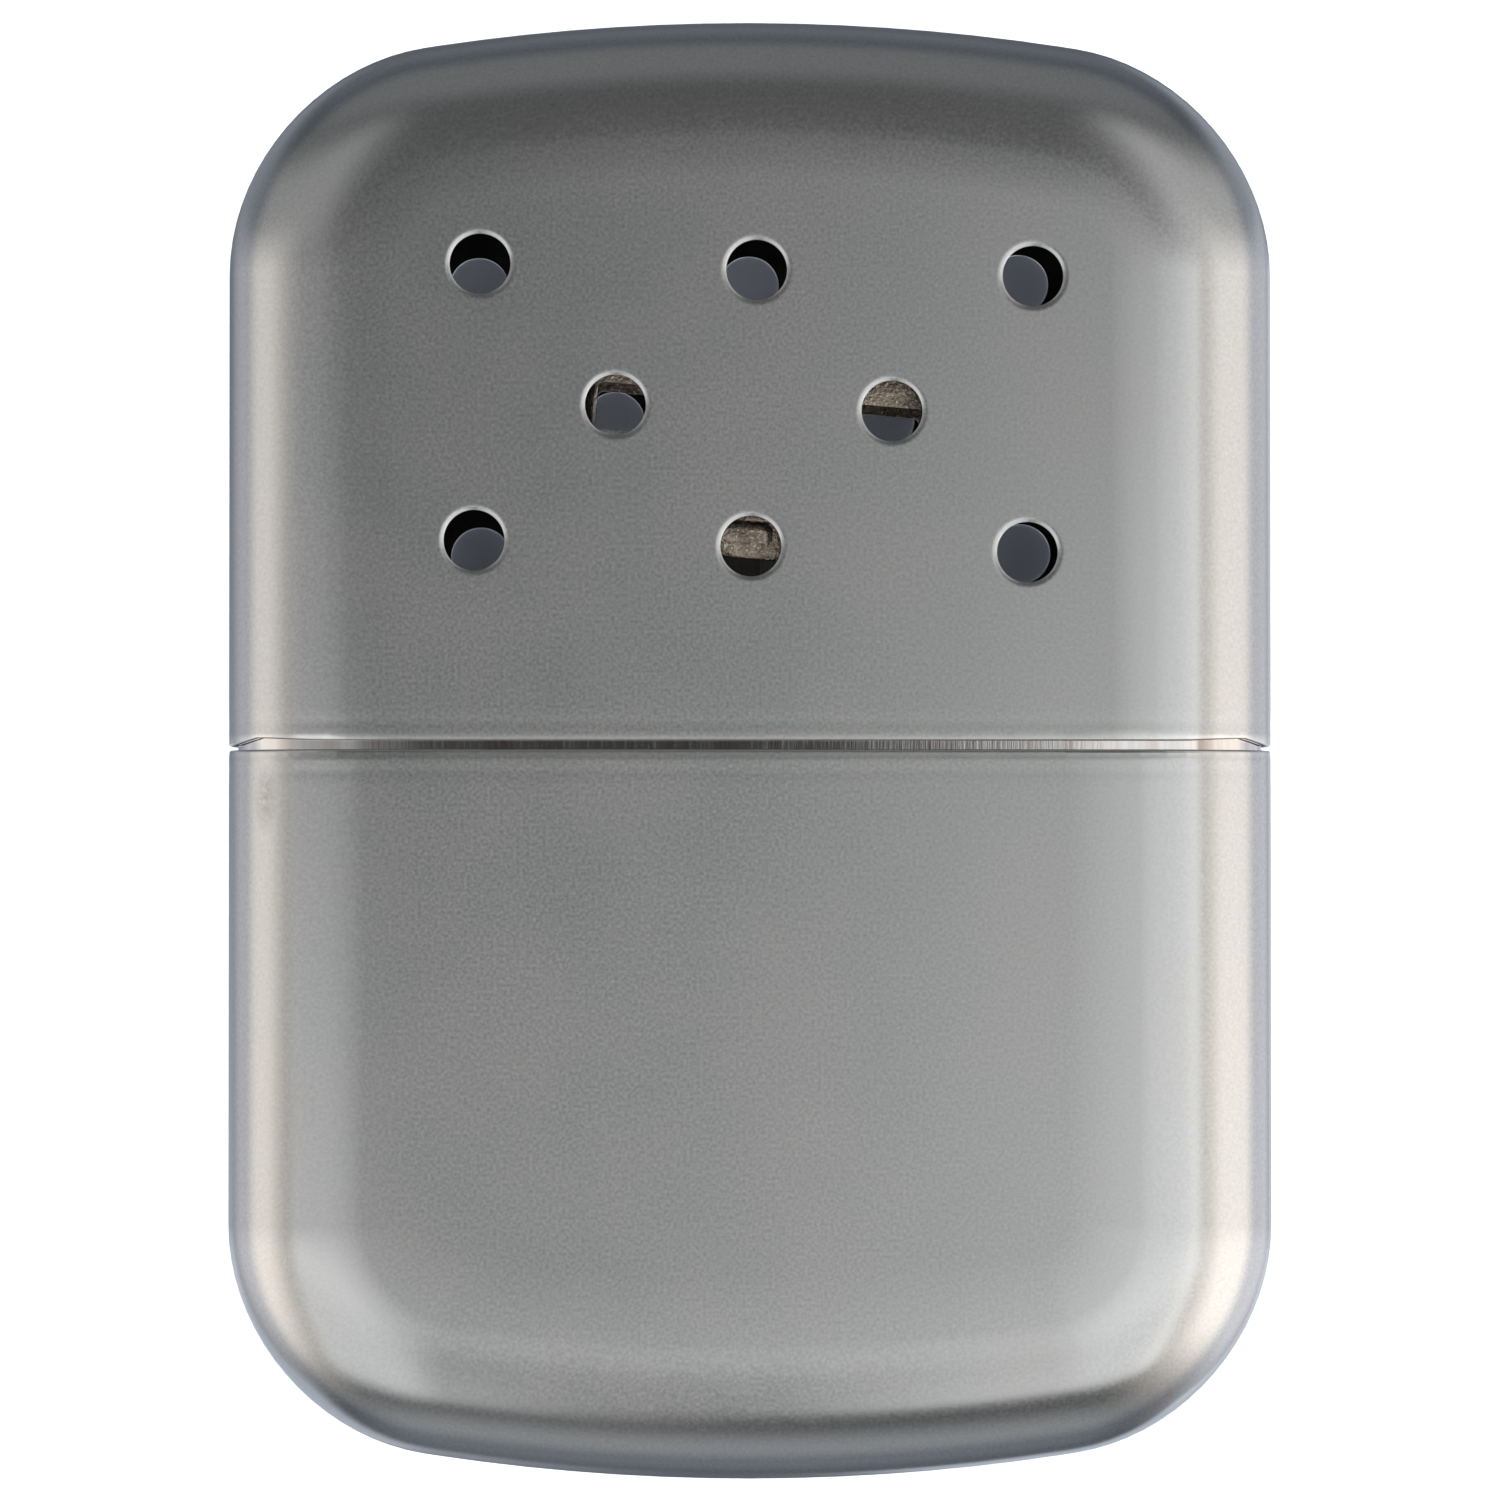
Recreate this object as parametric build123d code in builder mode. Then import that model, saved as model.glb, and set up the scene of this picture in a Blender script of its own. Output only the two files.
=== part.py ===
from build123d import *

import math
import os

# A catalytic hand warmer that lies on its back. +X is to its right, +Y points at the lid's end,
# +Z is the front face's normal. The origin is at the middle of the outline, on the back face.
# All sizes are in millimetres.

# ---------------------------------------------------------------- driving dimensions

# The closed casing
CASING_WIDTH = 70.0
CASING_HEIGHT = 97.8
CASING_THICKNESS = 15.0
CROWN_RADIUS = 141.0  # the shallow arcs at the lid's end and the tank's end
CORNER_RADIUS = 15.5  # the outline's four corners
EDGE_RADIUS = 6.5  # between the flat faces and the sides
EDGE_FLATS = 4  # the rounded edge is laid out in this many flats, outside
LINING_FLATS = 3  # and in this many inside
CASING_WALL = 0.5  # sheet of the two drawn shells
RIM_EDGE_BEVEL = 0.15  # worn corner of the tank shell's rim

# The seam between the shells
TANK_HEIGHT = 48.8  # lower shell, from its end to its rim
SEAM_GAP = 0.56  # slit along the front and the back
SEAM_FLARE = 0.75  # the slit where it is widest, near each side
SEAM_SIDE_GAP = 0.3  # the slit round the sides
SEAM_RUN = 6.0  # from the side to where the slit starts to flare
SEAM_FLARE_RUN = 2.1  # from the side to the widest place
SEAM_LAND = 0.3  # from the side to the end of the flare

# The vents: rows of three, two and three
VENT_DIAMETER = 4.05
VENT_RIM = 0.36  # by which the hole widens towards the outside
VENT_PITCH_X = 18.4
VENT_PITCH_Y = 9.2
VENT_ROWS = (3, 2, 3)
VENT_SHIFT = 0.12
VENT_RISE = 22.7  # pattern centre above the seam
FRONT_VENT_SKEW = -1.2  # degrees: the punch sits a little askew
BACK_VENT_SKEW = 0.4

# The tank's cap, whose wall guides the lid
GUIDE_FIT = 0.12  # between the guide wall and each shell
CAP_SHEET = 0.4
GUIDE_RISE = 9.1  # cap's top above the seam
GUIDE_DEPTH = 5.0  # cap's wall below the seam
CAP_EDGE_BEVEL = 0.8

# The filler neck, an oval tube crimped into the cap
NECK_RISE = 6.35  # above the cap
NECK_SHEET = 0.4
NECK_FLANGE = 0.7  # width of the flange under the cap
NECK_BEAD = 0.45  # bead that locks the neck above the cap
NECK_BEAD_HEIGHT = 0.7
NECK_FIT = 0.03  # between the neck and the cap's mouth
NECK_RIM_BEVEL = 0.12

# The burner, a folded sheet cage that stands on the neck
BURNER_WIDTH = 28.0
BURNER_DEPTH = 10.5
BURNER_HEIGHT = 14.4
BURNER_CORNER_RADIUS = 3.6
BURNER_SHEET = 0.35
BURNER_TILT = 5.0  # degrees: it leans to the right on its neck
BURNER_SHIFT = -0.25
BURNER_FIT = 0.15  # between the skirt and the neck, front and back
BURNER_SEAT = 0.25  # between the tray and the neck's rim
ROOF_EDGE_BEVEL = 0.7

WINDOW_WIDTH = 21.9
WINDOW_HEIGHT = 4.5
WINDOW_TOP = 10.9  # above the skirt's edge
WINDOW_BEVEL = 0.25  # pressed edge round the window
WINDOW_BEVEL_ANGLE = 45  # degrees

ROOF_SLOTS = 3
ROOF_SLOT_DEPTH = 6.4
ROOF_BAR = 1.5  # between two slots
ROOF_MARGIN = 2.6  # from the end slots to the burner's ends

GRIP_LENGTH = 7.0  # pressed bead across the skirt
GRIP_HEIGHT = 1.2
GRIP_STANDOUT = 0.28
GRIP_SLOPE = 30  # degrees
GRIP_MIDDLE = 1.47  # above the skirt's edge
GRIP_SHIFT = -1.81

# The tray in the burner and the mat on it
TRAY_SHEET = 0.3
TRAY_LEVEL = 4.05  # tray's underside above the skirt's edge
TRAY_FIT = 0.03
TRAY_TO_WINDOW = 0.25  # tray's rim stays under the window's sill
TRAY_SLOTS = 5
TRAY_SLOT_PITCH = 4.5
TRAY_SLOT_WIDTH = 2.0
TRAY_SLOT_LENGTH = 6.0
MAT_THICKNESS = 3.6
MAT_CLEARANCE = 0.2
MAT_SEAT = 0.05  # between the mat and the tray's floor

# Inside the tank
PAD_THICKNESS = 3.0  # felt under the mouth
SOFT_CLEARANCE = 0.3  # between the soft fillings and the metal
PAD_MARGIN = 1.5  # felt beyond the mouth at each side
PAD_CORNER = 3.0

# ---------------------------------------------------------------- derived places

SEAM_Y = -CASING_HEIGHT / 2 + TANK_HEIGHT
MIDDLE_Z = CASING_THICKNESS / 2
CAP_TOP = SEAM_Y + GUIDE_RISE
NECK_TOP = CAP_TOP + NECK_RISE
TILT = math.radians(BURNER_TILT)

# The skirt's inside leaves room to lean on the neck: the neck is narrower by the skirt's run across it.
SKIRT_GRIP = TRAY_LEVEL * math.sin(TILT)
NECK_WIDTH = (BURNER_WIDTH - 2 * BURNER_SHEET) * math.cos(TILT) - SKIRT_GRIP - 4 * BURNER_FIT
NECK_DEPTH = BURNER_DEPTH - 2 * BURNER_SHEET - 2 * BURNER_FIT
NECK_CORNER = BURNER_CORNER_RADIUS - BURNER_SHEET

# The tray's underside comes down on the neck's rim on the side to which the burner leans.
SKIRT_Y = (
    NECK_TOP
    + (NECK_WIDTH / 2 + abs(BURNER_SHIFT)) * math.tan(TILT)
    + BURNER_SEAT
    - TRAY_LEVEL / math.cos(TILT)
)
BURNER_BASE = Plane(
    origin=(BURNER_SHIFT, SKIRT_Y, MIDDLE_Z),
    x_dir=(math.cos(TILT), -math.sin(TILT), 0),
    z_dir=(math.sin(TILT), math.cos(TILT), 0),
)
BURNER_AXIS = Axis(BURNER_BASE.origin, BURNER_BASE.z_dir)
BURNER_FACE = Plane(
    origin=(BURNER_SHIFT, SKIRT_Y, MIDDLE_Z + BURNER_DEPTH / 2),
    x_dir=(math.cos(TILT), -math.sin(TILT), 0),
    z_dir=(0, 0, 1),
)
BURNER_REAR = Plane(
    origin=(BURNER_SHIFT, SKIRT_Y, MIDDLE_Z - BURNER_DEPTH / 2),
    x_dir=(-math.cos(TILT), math.sin(TILT), 0),
    z_dir=(0, 0, -1),
)
WINDOW_SILL = WINDOW_TOP - WINDOW_HEIGHT


# ---------------------------------------------------------------- shared forms


def edge_points(radius, flats):
    """Corners of a quarter round laid out in flats, as (run, rise) from its start."""
    step = math.pi / 2 / flats
    return [(radius * (1 - math.cos(i * step)), radius * math.sin(i * step)) for i in range(flats + 1)]


def casing_outline(inset):
    """The casing's outline seen from the front, drawn in by inset."""
    with BuildSketch() as outline:
        Rectangle(CASING_WIDTH - 2 * inset, 2 * CASING_HEIGHT)
        with Locations((0, CASING_HEIGHT / 2 - CROWN_RADIUS)):
            Circle(CROWN_RADIUS - inset, mode=Mode.INTERSECT)
        with Locations((0, CROWN_RADIUS - CASING_HEIGHT / 2)):
            Circle(CROWN_RADIUS - inset, mode=Mode.INTERSECT)
        fillet(outline.vertices(), CORNER_RADIUS - inset)
    return outline.sketch


def casing_block(inset, flats):
    """The casing's form drawn in by inset all round, its edges in flats."""
    points = edge_points(EDGE_RADIUS - inset, flats)
    edge_level = CASING_THICKNESS - EDGE_RADIUS
    with BuildPart() as block:
        with BuildSketch(Plane.XY.offset(EDGE_RADIUS)):
            add(casing_outline(inset))
        extrude(amount=CASING_THICKNESS - 2 * EDGE_RADIUS)
        for (run, rise), (next_run, next_rise) in zip(points, points[1:]):
            with BuildSketch(Plane.XY.offset(edge_level + rise)):
                add(casing_outline(inset + run))
            slope = math.degrees(math.atan2(next_run - run, next_rise - rise))
            extrude(amount=next_rise - rise, taper=slope)
        mirror(about=Plane.XY.offset(MIDDLE_Z))
    return block.part


def cross_section(height):
    """A plane across the casing at this height, looking towards the lid's end."""
    return Plane(origin=(0, height, MIDDLE_Z), x_dir=(1, 0, 0), z_dir=(0, 1, 0))


def lining_section(inset):
    """The lining's section drawn in by inset, from one side to the other."""
    half_width = CASING_WIDTH / 2 - inset
    half_depth = CASING_THICKNESS / 2 - inset
    radius = EDGE_RADIUS - inset
    quarter = [
        (half_width - run, half_depth - radius + rise) for run, rise in edge_points(radius, LINING_FLATS)
    ]
    half = quarter + [(-x, y) for x, y in reversed(quarter)]
    return Polygon(*half, *[(-x, -y) for x, y in half], align=None)


def vent_tool():
    """What the punch takes out: a round hole whose edge is pressed inwards."""
    radius = VENT_DIAMETER / 2
    with BuildPart() as tool:
        with BuildSketch(Plane.XZ):
            Polygon(
                (0, -CASING_WALL),
                (radius, -CASING_WALL),
                (radius + VENT_RIM, 0),
                (0, 0),
                align=None,
            )
        revolve(axis=Axis.Z)
    return tool.part


def vent_places():
    """The holes' centres about the middle of the pattern."""
    places = []
    for row, count in enumerate(VENT_ROWS):
        y = ((len(VENT_ROWS) - 1) / 2 - row) * VENT_PITCH_Y
        for column in range(count):
            places.append(((column - (count - 1) / 2) * VENT_PITCH_X, y))
    return places


def vent_plane(skew, level, outwards):
    """A vent pattern's plane on the front or the back face."""
    angle = math.radians(skew)
    return Plane(
        origin=(VENT_SHIFT, SEAM_Y + VENT_RISE, level),
        x_dir=(math.cos(angle), math.sin(angle), 0),
        z_dir=(0, 0, outwards),
    )


# ---------------------------------------------------------------- lid: a drawn shell with vents

with BuildPart() as lid_shell:
    add(casing_block(0, EDGE_FLATS))
    add(casing_block(CASING_WALL, LINING_FLATS), mode=Mode.SUBTRACT)
    split(bisect_by=cross_section(SEAM_Y + SEAM_SIDE_GAP), keep=Keep.TOP)
    # The rim is cut back along the front and the back, most of all near its two ends.
    rim_cut = [
        (CASING_WIDTH / 2 - SEAM_LAND, SEAM_Y + SEAM_SIDE_GAP),
        (CASING_WIDTH / 2 - SEAM_FLARE_RUN, SEAM_Y + SEAM_FLARE),
        (CASING_WIDTH / 2 - SEAM_RUN, SEAM_Y + SEAM_GAP),
    ]
    with BuildSketch(Plane.XY):
        Polygon(*rim_cut, *[(-x, y) for x, y in reversed(rim_cut)], align=None)
    extrude(amount=CASING_THICKNESS, mode=Mode.SUBTRACT)
    punch = vent_tool()
    front = vent_plane(FRONT_VENT_SKEW, CASING_THICKNESS, 1)
    back = vent_plane(BACK_VENT_SKEW, 0, -1)
    for face in (front, back):
        with Locations(face):
            with Locations(*vent_places()):
                add(punch, mode=Mode.SUBTRACT)

# ---------------------------------------------------------------- tank: a drawn shell

with BuildPart() as tank_shell:
    add(casing_block(0, EDGE_FLATS))
    add(casing_block(CASING_WALL, LINING_FLATS), mode=Mode.SUBTRACT)
    split(bisect_by=cross_section(SEAM_Y), keep=Keep.BOTTOM)
    rim = tank_shell.faces().sort_by(Axis.Y)[-1]
    chamfer(rim.outer_wire().edges(), RIM_EDGE_BEVEL)

# ---------------------------------------------------------------- cap: closes the tank, guides the lid

GUIDE_INSET = CASING_WALL + GUIDE_FIT
GUIDE_THICKNESS = CASING_THICKNESS - 2 * GUIDE_INSET

with BuildPart() as tank_cap:
    with BuildSketch(cross_section(SEAM_Y - GUIDE_DEPTH)):
        lining_section(GUIDE_INSET)
    extrude(amount=GUIDE_DEPTH + GUIDE_RISE)
    chamfer(tank_cap.faces().sort_by(Axis.Y)[-1].edges(), CAP_EDGE_BEVEL)
    offset(amount=-CAP_SHEET, openings=tank_cap.faces().sort_by(Axis.Y)[0])
    with BuildSketch(cross_section(CAP_TOP - CAP_SHEET)):
        RectangleRounded(NECK_WIDTH + 2 * NECK_FIT, NECK_DEPTH + 2 * NECK_FIT, NECK_CORNER + NECK_FIT)
    extrude(amount=CAP_SHEET, mode=Mode.SUBTRACT)

# ---------------------------------------------------------------- filler neck


def neck_outline(margin):
    """The neck's outer section, drawn out by margin."""
    return RectangleRounded(NECK_WIDTH + 2 * margin, NECK_DEPTH + 2 * margin, NECK_CORNER + margin)


FLANGE_BASE = CAP_TOP - CAP_SHEET - NECK_SHEET

with BuildPart() as filler_neck:
    with BuildSketch(cross_section(FLANGE_BASE)):
        neck_outline(NECK_FLANGE)
    extrude(amount=NECK_SHEET)
    with BuildSketch(cross_section(FLANGE_BASE)):
        neck_outline(0)
    extrude(amount=NECK_TOP - FLANGE_BASE)
    with BuildSketch(cross_section(CAP_TOP)):
        neck_outline(NECK_BEAD)
    extrude(amount=NECK_BEAD_HEIGHT)
    with BuildSketch(cross_section(FLANGE_BASE)):
        neck_outline(-NECK_SHEET)
    extrude(amount=NECK_TOP - FLANGE_BASE, mode=Mode.SUBTRACT)
    chamfer(filler_neck.faces().sort_by(Axis.Y)[-1].outer_wire().edges(), NECK_RIM_BEVEL)

# ---------------------------------------------------------------- burner: a folded sheet cage

SLOT_WIDTH = (BURNER_WIDTH - 2 * ROOF_MARGIN - (ROOF_SLOTS - 1) * ROOF_BAR) / ROOF_SLOTS

with BuildPart() as burner_cage:
    with BuildSketch(BURNER_BASE):
        RectangleRounded(BURNER_WIDTH, BURNER_DEPTH, BURNER_CORNER_RADIUS)
    extrude(amount=BURNER_HEIGHT)
    chamfer(burner_cage.faces().sort_by(BURNER_AXIS)[-1].edges(), ROOF_EDGE_BEVEL)
    offset(amount=-BURNER_SHEET, openings=burner_cage.faces().sort_by(BURNER_AXIS)[0])
    # The windows go right through, and their edges are pressed inwards.
    with BuildSketch(BURNER_FACE):
        with Locations((0, (WINDOW_TOP + WINDOW_SILL) / 2)):
            Rectangle(WINDOW_WIDTH, WINDOW_HEIGHT)
    extrude(amount=-BURNER_DEPTH, mode=Mode.SUBTRACT)
    for wall in (BURNER_FACE, BURNER_REAR):
        with BuildSketch(wall):
            with Locations((0, (WINDOW_TOP + WINDOW_SILL) / 2)):
                Rectangle(WINDOW_WIDTH + 2 * WINDOW_BEVEL, WINDOW_HEIGHT + 2 * WINDOW_BEVEL)
        extrude(amount=-WINDOW_BEVEL, taper=WINDOW_BEVEL_ANGLE, mode=Mode.SUBTRACT)
        # A bead across the skirt stiffens it where it grips the neck.
        with BuildSketch(wall):
            with Locations((GRIP_SHIFT if wall is BURNER_FACE else -GRIP_SHIFT, GRIP_MIDDLE)):
                SlotOverall(GRIP_LENGTH, GRIP_HEIGHT)
        extrude(amount=GRIP_STANDOUT, taper=GRIP_SLOPE)
    with BuildSketch(BURNER_BASE.offset(BURNER_HEIGHT)):
        with GridLocations(SLOT_WIDTH + ROOF_BAR, 0, ROOF_SLOTS, 1):
            Rectangle(SLOT_WIDTH, ROOF_SLOT_DEPTH)
    extrude(amount=-2 * BURNER_SHEET, mode=Mode.SUBTRACT)

# ---------------------------------------------------------------- tray: carries the mat in the burner

TRAY_WIDTH = BURNER_WIDTH - 2 * (BURNER_SHEET + TRAY_FIT)
TRAY_DEPTH = BURNER_DEPTH - 2 * (BURNER_SHEET + TRAY_FIT)
TRAY_CORNER = BURNER_CORNER_RADIUS - BURNER_SHEET - TRAY_FIT

with BuildPart() as burner_tray:
    with BuildSketch(BURNER_BASE.offset(TRAY_LEVEL)):
        RectangleRounded(TRAY_WIDTH, TRAY_DEPTH, TRAY_CORNER)
    extrude(amount=WINDOW_SILL - WINDOW_BEVEL - TRAY_TO_WINDOW - TRAY_LEVEL)
    offset(amount=-TRAY_SHEET, openings=burner_tray.faces().sort_by(BURNER_AXIS)[-1])
    with BuildSketch(BURNER_BASE.offset(TRAY_LEVEL)):
        with GridLocations(TRAY_SLOT_PITCH, 0, TRAY_SLOTS, 1):
            Rectangle(TRAY_SLOT_WIDTH, TRAY_SLOT_LENGTH)
    extrude(amount=TRAY_SHEET, mode=Mode.SUBTRACT)

# ---------------------------------------------------------------- soft pieces

MAT_INSET = TRAY_SHEET + MAT_CLEARANCE

with BuildPart() as catalyst_mat:
    with BuildSketch(BURNER_BASE.offset(TRAY_LEVEL + TRAY_SHEET + MAT_SEAT)):
        RectangleRounded(TRAY_WIDTH - 2 * MAT_INSET, TRAY_DEPTH - 2 * MAT_INSET, TRAY_CORNER - MAT_INSET)
    extrude(amount=MAT_THICKNESS)

PAD_TOP = FLANGE_BASE - SOFT_CLEARANCE
PAD_DEPTH = GUIDE_THICKNESS - 2 * (CAP_SHEET + SOFT_CLEARANCE)

with BuildPart() as felt_pad:
    with BuildSketch(cross_section(PAD_TOP - PAD_THICKNESS)):
        RectangleRounded(NECK_WIDTH + 2 * PAD_MARGIN, PAD_DEPTH, PAD_CORNER)
    extrude(amount=PAD_THICKNESS)

# The wadding's outline follows the tank's corners in flats.
FILL_INSET = GUIDE_INSET + CAP_SHEET + SOFT_CLEARANCE
FILL_TOP = PAD_TOP - PAD_THICKNESS - SOFT_CLEARANCE
CORNER_X = CASING_WIDTH / 2 - CORNER_RADIUS
CORNER_REACH = CROWN_RADIUS - CORNER_RADIUS
CORNER_Y = CROWN_RADIUS - CASING_HEIGHT / 2 - math.sqrt(CORNER_REACH**2 - CORNER_X**2)
CORNER_SWEEP = math.acos(CORNER_X / CORNER_REACH)
FILL_RADIUS = CORNER_RADIUS - FILL_INSET
fill_side = [(CASING_WIDTH / 2 - FILL_INSET, FILL_TOP)]
for turn in (0, CORNER_SWEEP / 2, CORNER_SWEEP):
    fill_side.append((CORNER_X + FILL_RADIUS * math.cos(turn), CORNER_Y - FILL_RADIUS * math.sin(turn)))

with BuildPart() as cotton_fill:
    with BuildSketch(Plane.XY.offset(FILL_INSET)):
        Polygon(*fill_side, *[(-x, y) for x, y in reversed(fill_side)], align=None)
    extrude(amount=CASING_THICKNESS - 2 * FILL_INSET)
    chamfer(cotton_fill.faces().filter_by(Axis.Z).edges(), EDGE_RADIUS - FILL_INSET)

# ---------------------------------------------------------------- files

PIECES = {
    "lid_shell": lid_shell,
    "tank_shell": tank_shell,
    "tank_cap": tank_cap,
    "filler_neck": filler_neck,
    "felt_pad": felt_pad,
    "cotton_fill": cotton_fill,
    "burner_cage": burner_cage,
    "burner_tray": burner_tray,
    "catalyst_mat": catalyst_mat,
}

os.makedirs("parts", exist_ok=True)
for label, piece in PIECES.items():
    piece.part.label = label
    export_step(piece.part, f"parts/{label}.step")
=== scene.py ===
"""A pocket catalytic hand warmer: drawn casing, guide cap, filler neck, burner and soft filling."""

import logging
import math
from collections.abc import Callable, Iterator, Sequence
from contextlib import contextmanager
from dataclasses import dataclass
from enum import Enum

import bmesh
import bpy
from mathutils import Euler, Matrix, Vector, noise

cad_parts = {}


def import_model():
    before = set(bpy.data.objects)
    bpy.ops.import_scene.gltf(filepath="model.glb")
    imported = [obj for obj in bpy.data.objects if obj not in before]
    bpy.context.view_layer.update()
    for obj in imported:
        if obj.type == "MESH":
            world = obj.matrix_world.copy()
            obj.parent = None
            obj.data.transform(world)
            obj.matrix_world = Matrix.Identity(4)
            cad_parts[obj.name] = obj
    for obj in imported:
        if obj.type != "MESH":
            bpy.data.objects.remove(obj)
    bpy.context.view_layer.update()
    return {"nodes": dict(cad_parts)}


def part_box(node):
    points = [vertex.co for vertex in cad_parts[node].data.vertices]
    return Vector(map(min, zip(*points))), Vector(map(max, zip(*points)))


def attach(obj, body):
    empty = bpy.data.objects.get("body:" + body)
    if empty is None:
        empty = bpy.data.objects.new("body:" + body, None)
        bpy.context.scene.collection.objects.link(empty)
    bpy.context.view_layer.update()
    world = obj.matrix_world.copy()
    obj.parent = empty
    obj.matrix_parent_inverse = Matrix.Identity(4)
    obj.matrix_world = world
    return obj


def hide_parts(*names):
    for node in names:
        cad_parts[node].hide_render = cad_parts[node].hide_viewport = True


LOG = logging.getLogger("hand_warmer")
MM = 0.001
TINY = 2e-6

Point = tuple[float, float, float]
Colour = tuple[float, float, float]


class Body(Enum):
    """The bodies that the pieces ride on."""

    TANK = "tank"
    LID = "lid"
    BURNER = "burner"


class Slot(Enum):
    """The record's material slots."""

    CASE = "satin_case"
    GUIDE = "polished_guide"
    BURNER = "burner_sheet"
    GLASS_FIBRE = "catalyst_glass_fibre"
    FELT = "felt"
    COTTON = "cotton"


class Half(Enum):
    """Which half of the casing a shell is."""

    LID = 1
    TANK = -1


# ---------------------------------------------------------------- bench tools


def clear_selection() -> None:
    """Leaves object mode's selection empty."""
    active = bpy.context.view_layer.objects.active
    if active is not None and active.mode != "OBJECT":
        bpy.ops.object.mode_set(mode="OBJECT")
    bpy.ops.object.select_all(action="DESELECT")


def take(piece: bpy.types.Object) -> None:
    """Makes piece the only selected object and the active one.

    Args:
        piece: The object.
    """
    clear_selection()
    piece.select_set(True)
    bpy.context.view_layer.objects.active = piece


@contextmanager
def editing(piece: bpy.types.Object) -> Iterator[None]:
    """Edit mode on one piece, with nothing selected at the start.

    Args:
        piece: The object.
    """
    take(piece)
    bpy.ops.object.mode_set(mode="EDIT")
    bpy.ops.mesh.select_all(action="DESELECT")
    yield
    bpy.ops.object.mode_set(mode="OBJECT")


def pick(piece: bpy.types.Object, kind: str, find: Callable[[bmesh.types.BMesh], list]) -> None:
    """Selects what find returns, and nothing else.

    Args:
        piece: The object in edit mode.
        kind: The selection mode's name.
        find: Gives the wanted elements of the mesh.
    """
    bpy.ops.mesh.select_mode(type=kind)
    bpy.ops.mesh.select_all(action="DESELECT")
    mesh = bmesh.from_edit_mesh(piece.data)
    for element in find(mesh):
        element.select_set(True)
    mesh.select_flush_mode()
    bmesh.update_edit_mesh(piece.data)


def pick_verts(piece: bpy.types.Object, test: Callable[[Vector], bool]) -> None:
    """Selects the vertices whose place passes the test.

    Args:
        piece: The object in edit mode.
        test: Says whether a vertex at this place is wanted.
    """
    pick(piece, "VERT", lambda mesh: [v for v in mesh.verts if test(v.co)])


def pick_edges(piece: bpy.types.Object, test: Callable[[Vector, Vector], bool]) -> None:
    """Selects the edges whose two ends pass the test.

    Args:
        piece: The object in edit mode.
        test: Says whether an edge between these two places is wanted.
    """
    pick(piece, "EDGE", lambda mesh: [e for e in mesh.edges if test(e.verts[0].co, e.verts[1].co)])


def pick_faces(piece: bpy.types.Object, test: Callable[[Vector, Vector], bool]) -> None:
    """Selects the faces whose middle and normal pass the test.

    Args:
        piece: The object in edit mode.
        test: Says whether a face with this middle and this normal is wanted.
    """
    pick(piece, "FACE", lambda mesh: [f for f in mesh.faces if test(f.calc_center_median(), f.normal)])


def cut(spot: Point, normal: Point, drop_inner: bool = False, drop_outer: bool = False) -> None:
    """Bisects all of the mesh in edit mode by a plane.

    Args:
        spot: A point on the plane.
        normal: The plane's normal.
        drop_inner: Clears what lies behind the plane.
        drop_outer: Clears what lies in front of it.
    """
    bpy.ops.mesh.select_all(action="SELECT")
    bpy.ops.mesh.bisect(
        plane_co=spot,
        plane_no=normal,
        clear_inner=drop_inner,
        clear_outer=drop_outer,
        threshold=TINY,
    )


def round_edges(offset: float, segments: int) -> None:
    """Bevels the selected edges to a quarter round.

    Args:
        offset: The bevel's radius.
        segments: The faces across it.
    """
    bpy.ops.mesh.bevel(
        offset_type="OFFSET",
        offset=offset,
        segments=segments,
        profile=0.5,
        affect="EDGES",
        clamp_overlap=False,
    )


def new_block(name: str, size: Point, centre: Point) -> bpy.types.Object:
    """A cube primitive at its size and place, with its transform in its mesh.

    Args:
        name: The object's name.
        size: Its sizes along X, Y and Z.
        centre: Its middle.

    Returns:
        The block.
    """
    clear_selection()
    bpy.ops.mesh.primitive_cube_add(size=1, location=centre, scale=size)
    block = bpy.context.view_layer.objects.active
    block.name = name
    block.data.name = name
    bpy.ops.object.transform_apply(location=True, rotation=True, scale=True)
    return block


def new_rod(name: str, radius: float, length: float, centre: Point, sides: int) -> bpy.types.Object:
    """A cylinder primitive along Z, with its transform in its mesh.

    Args:
        name: The object's name.
        radius: Its radius.
        length: Its length.
        centre: Its middle.
        sides: The faces round it.

    Returns:
        The rod.
    """
    clear_selection()
    bpy.ops.mesh.primitive_cylinder_add(
        vertices=sides, radius=radius, depth=length, location=centre
    )
    rod = bpy.context.view_layer.objects.active
    rod.name = name
    bpy.ops.object.transform_apply(location=True, rotation=True, scale=True)
    return rod


def rounded_tube(
    name: str, width: float, depth: float, low: float, high: float, corner: float, segments: int
) -> bpy.types.Object:
    """A block along Y whose four long edges are rounded, centred on the Y axis.

    Args:
        name: The piece's name.
        width: Its size along X.
        depth: Its size along Z.
        low: Where it starts along Y.
        high: Where it ends along Y.
        corner: The long edges' radius.
        segments: The faces round each long edge.

    Returns:
        The new object.
    """
    tube = new_block(name, (width, high - low, depth), (0, (low + high) / 2, 0))
    with editing(tube):
        pick_edges(tube, lambda a, b: abs(a.x - b.x) < TINY and abs(a.z - b.z) < TINY)
        round_edges(corner, segments)
    return tube


def apply_modifier(piece: bpy.types.Object, kind: str, **settings: object) -> None:
    """Adds one modifier and applies it.

    Args:
        piece: The object that gets it.
        kind: The modifier's type.
        settings: Its properties.
    """
    take(piece)
    bpy.ops.object.modifier_add(type=kind)
    modifier = piece.modifiers[-1]
    for key, value in settings.items():
        setattr(modifier, key, value)
    bpy.ops.object.modifier_apply(modifier=modifier.name)


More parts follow.
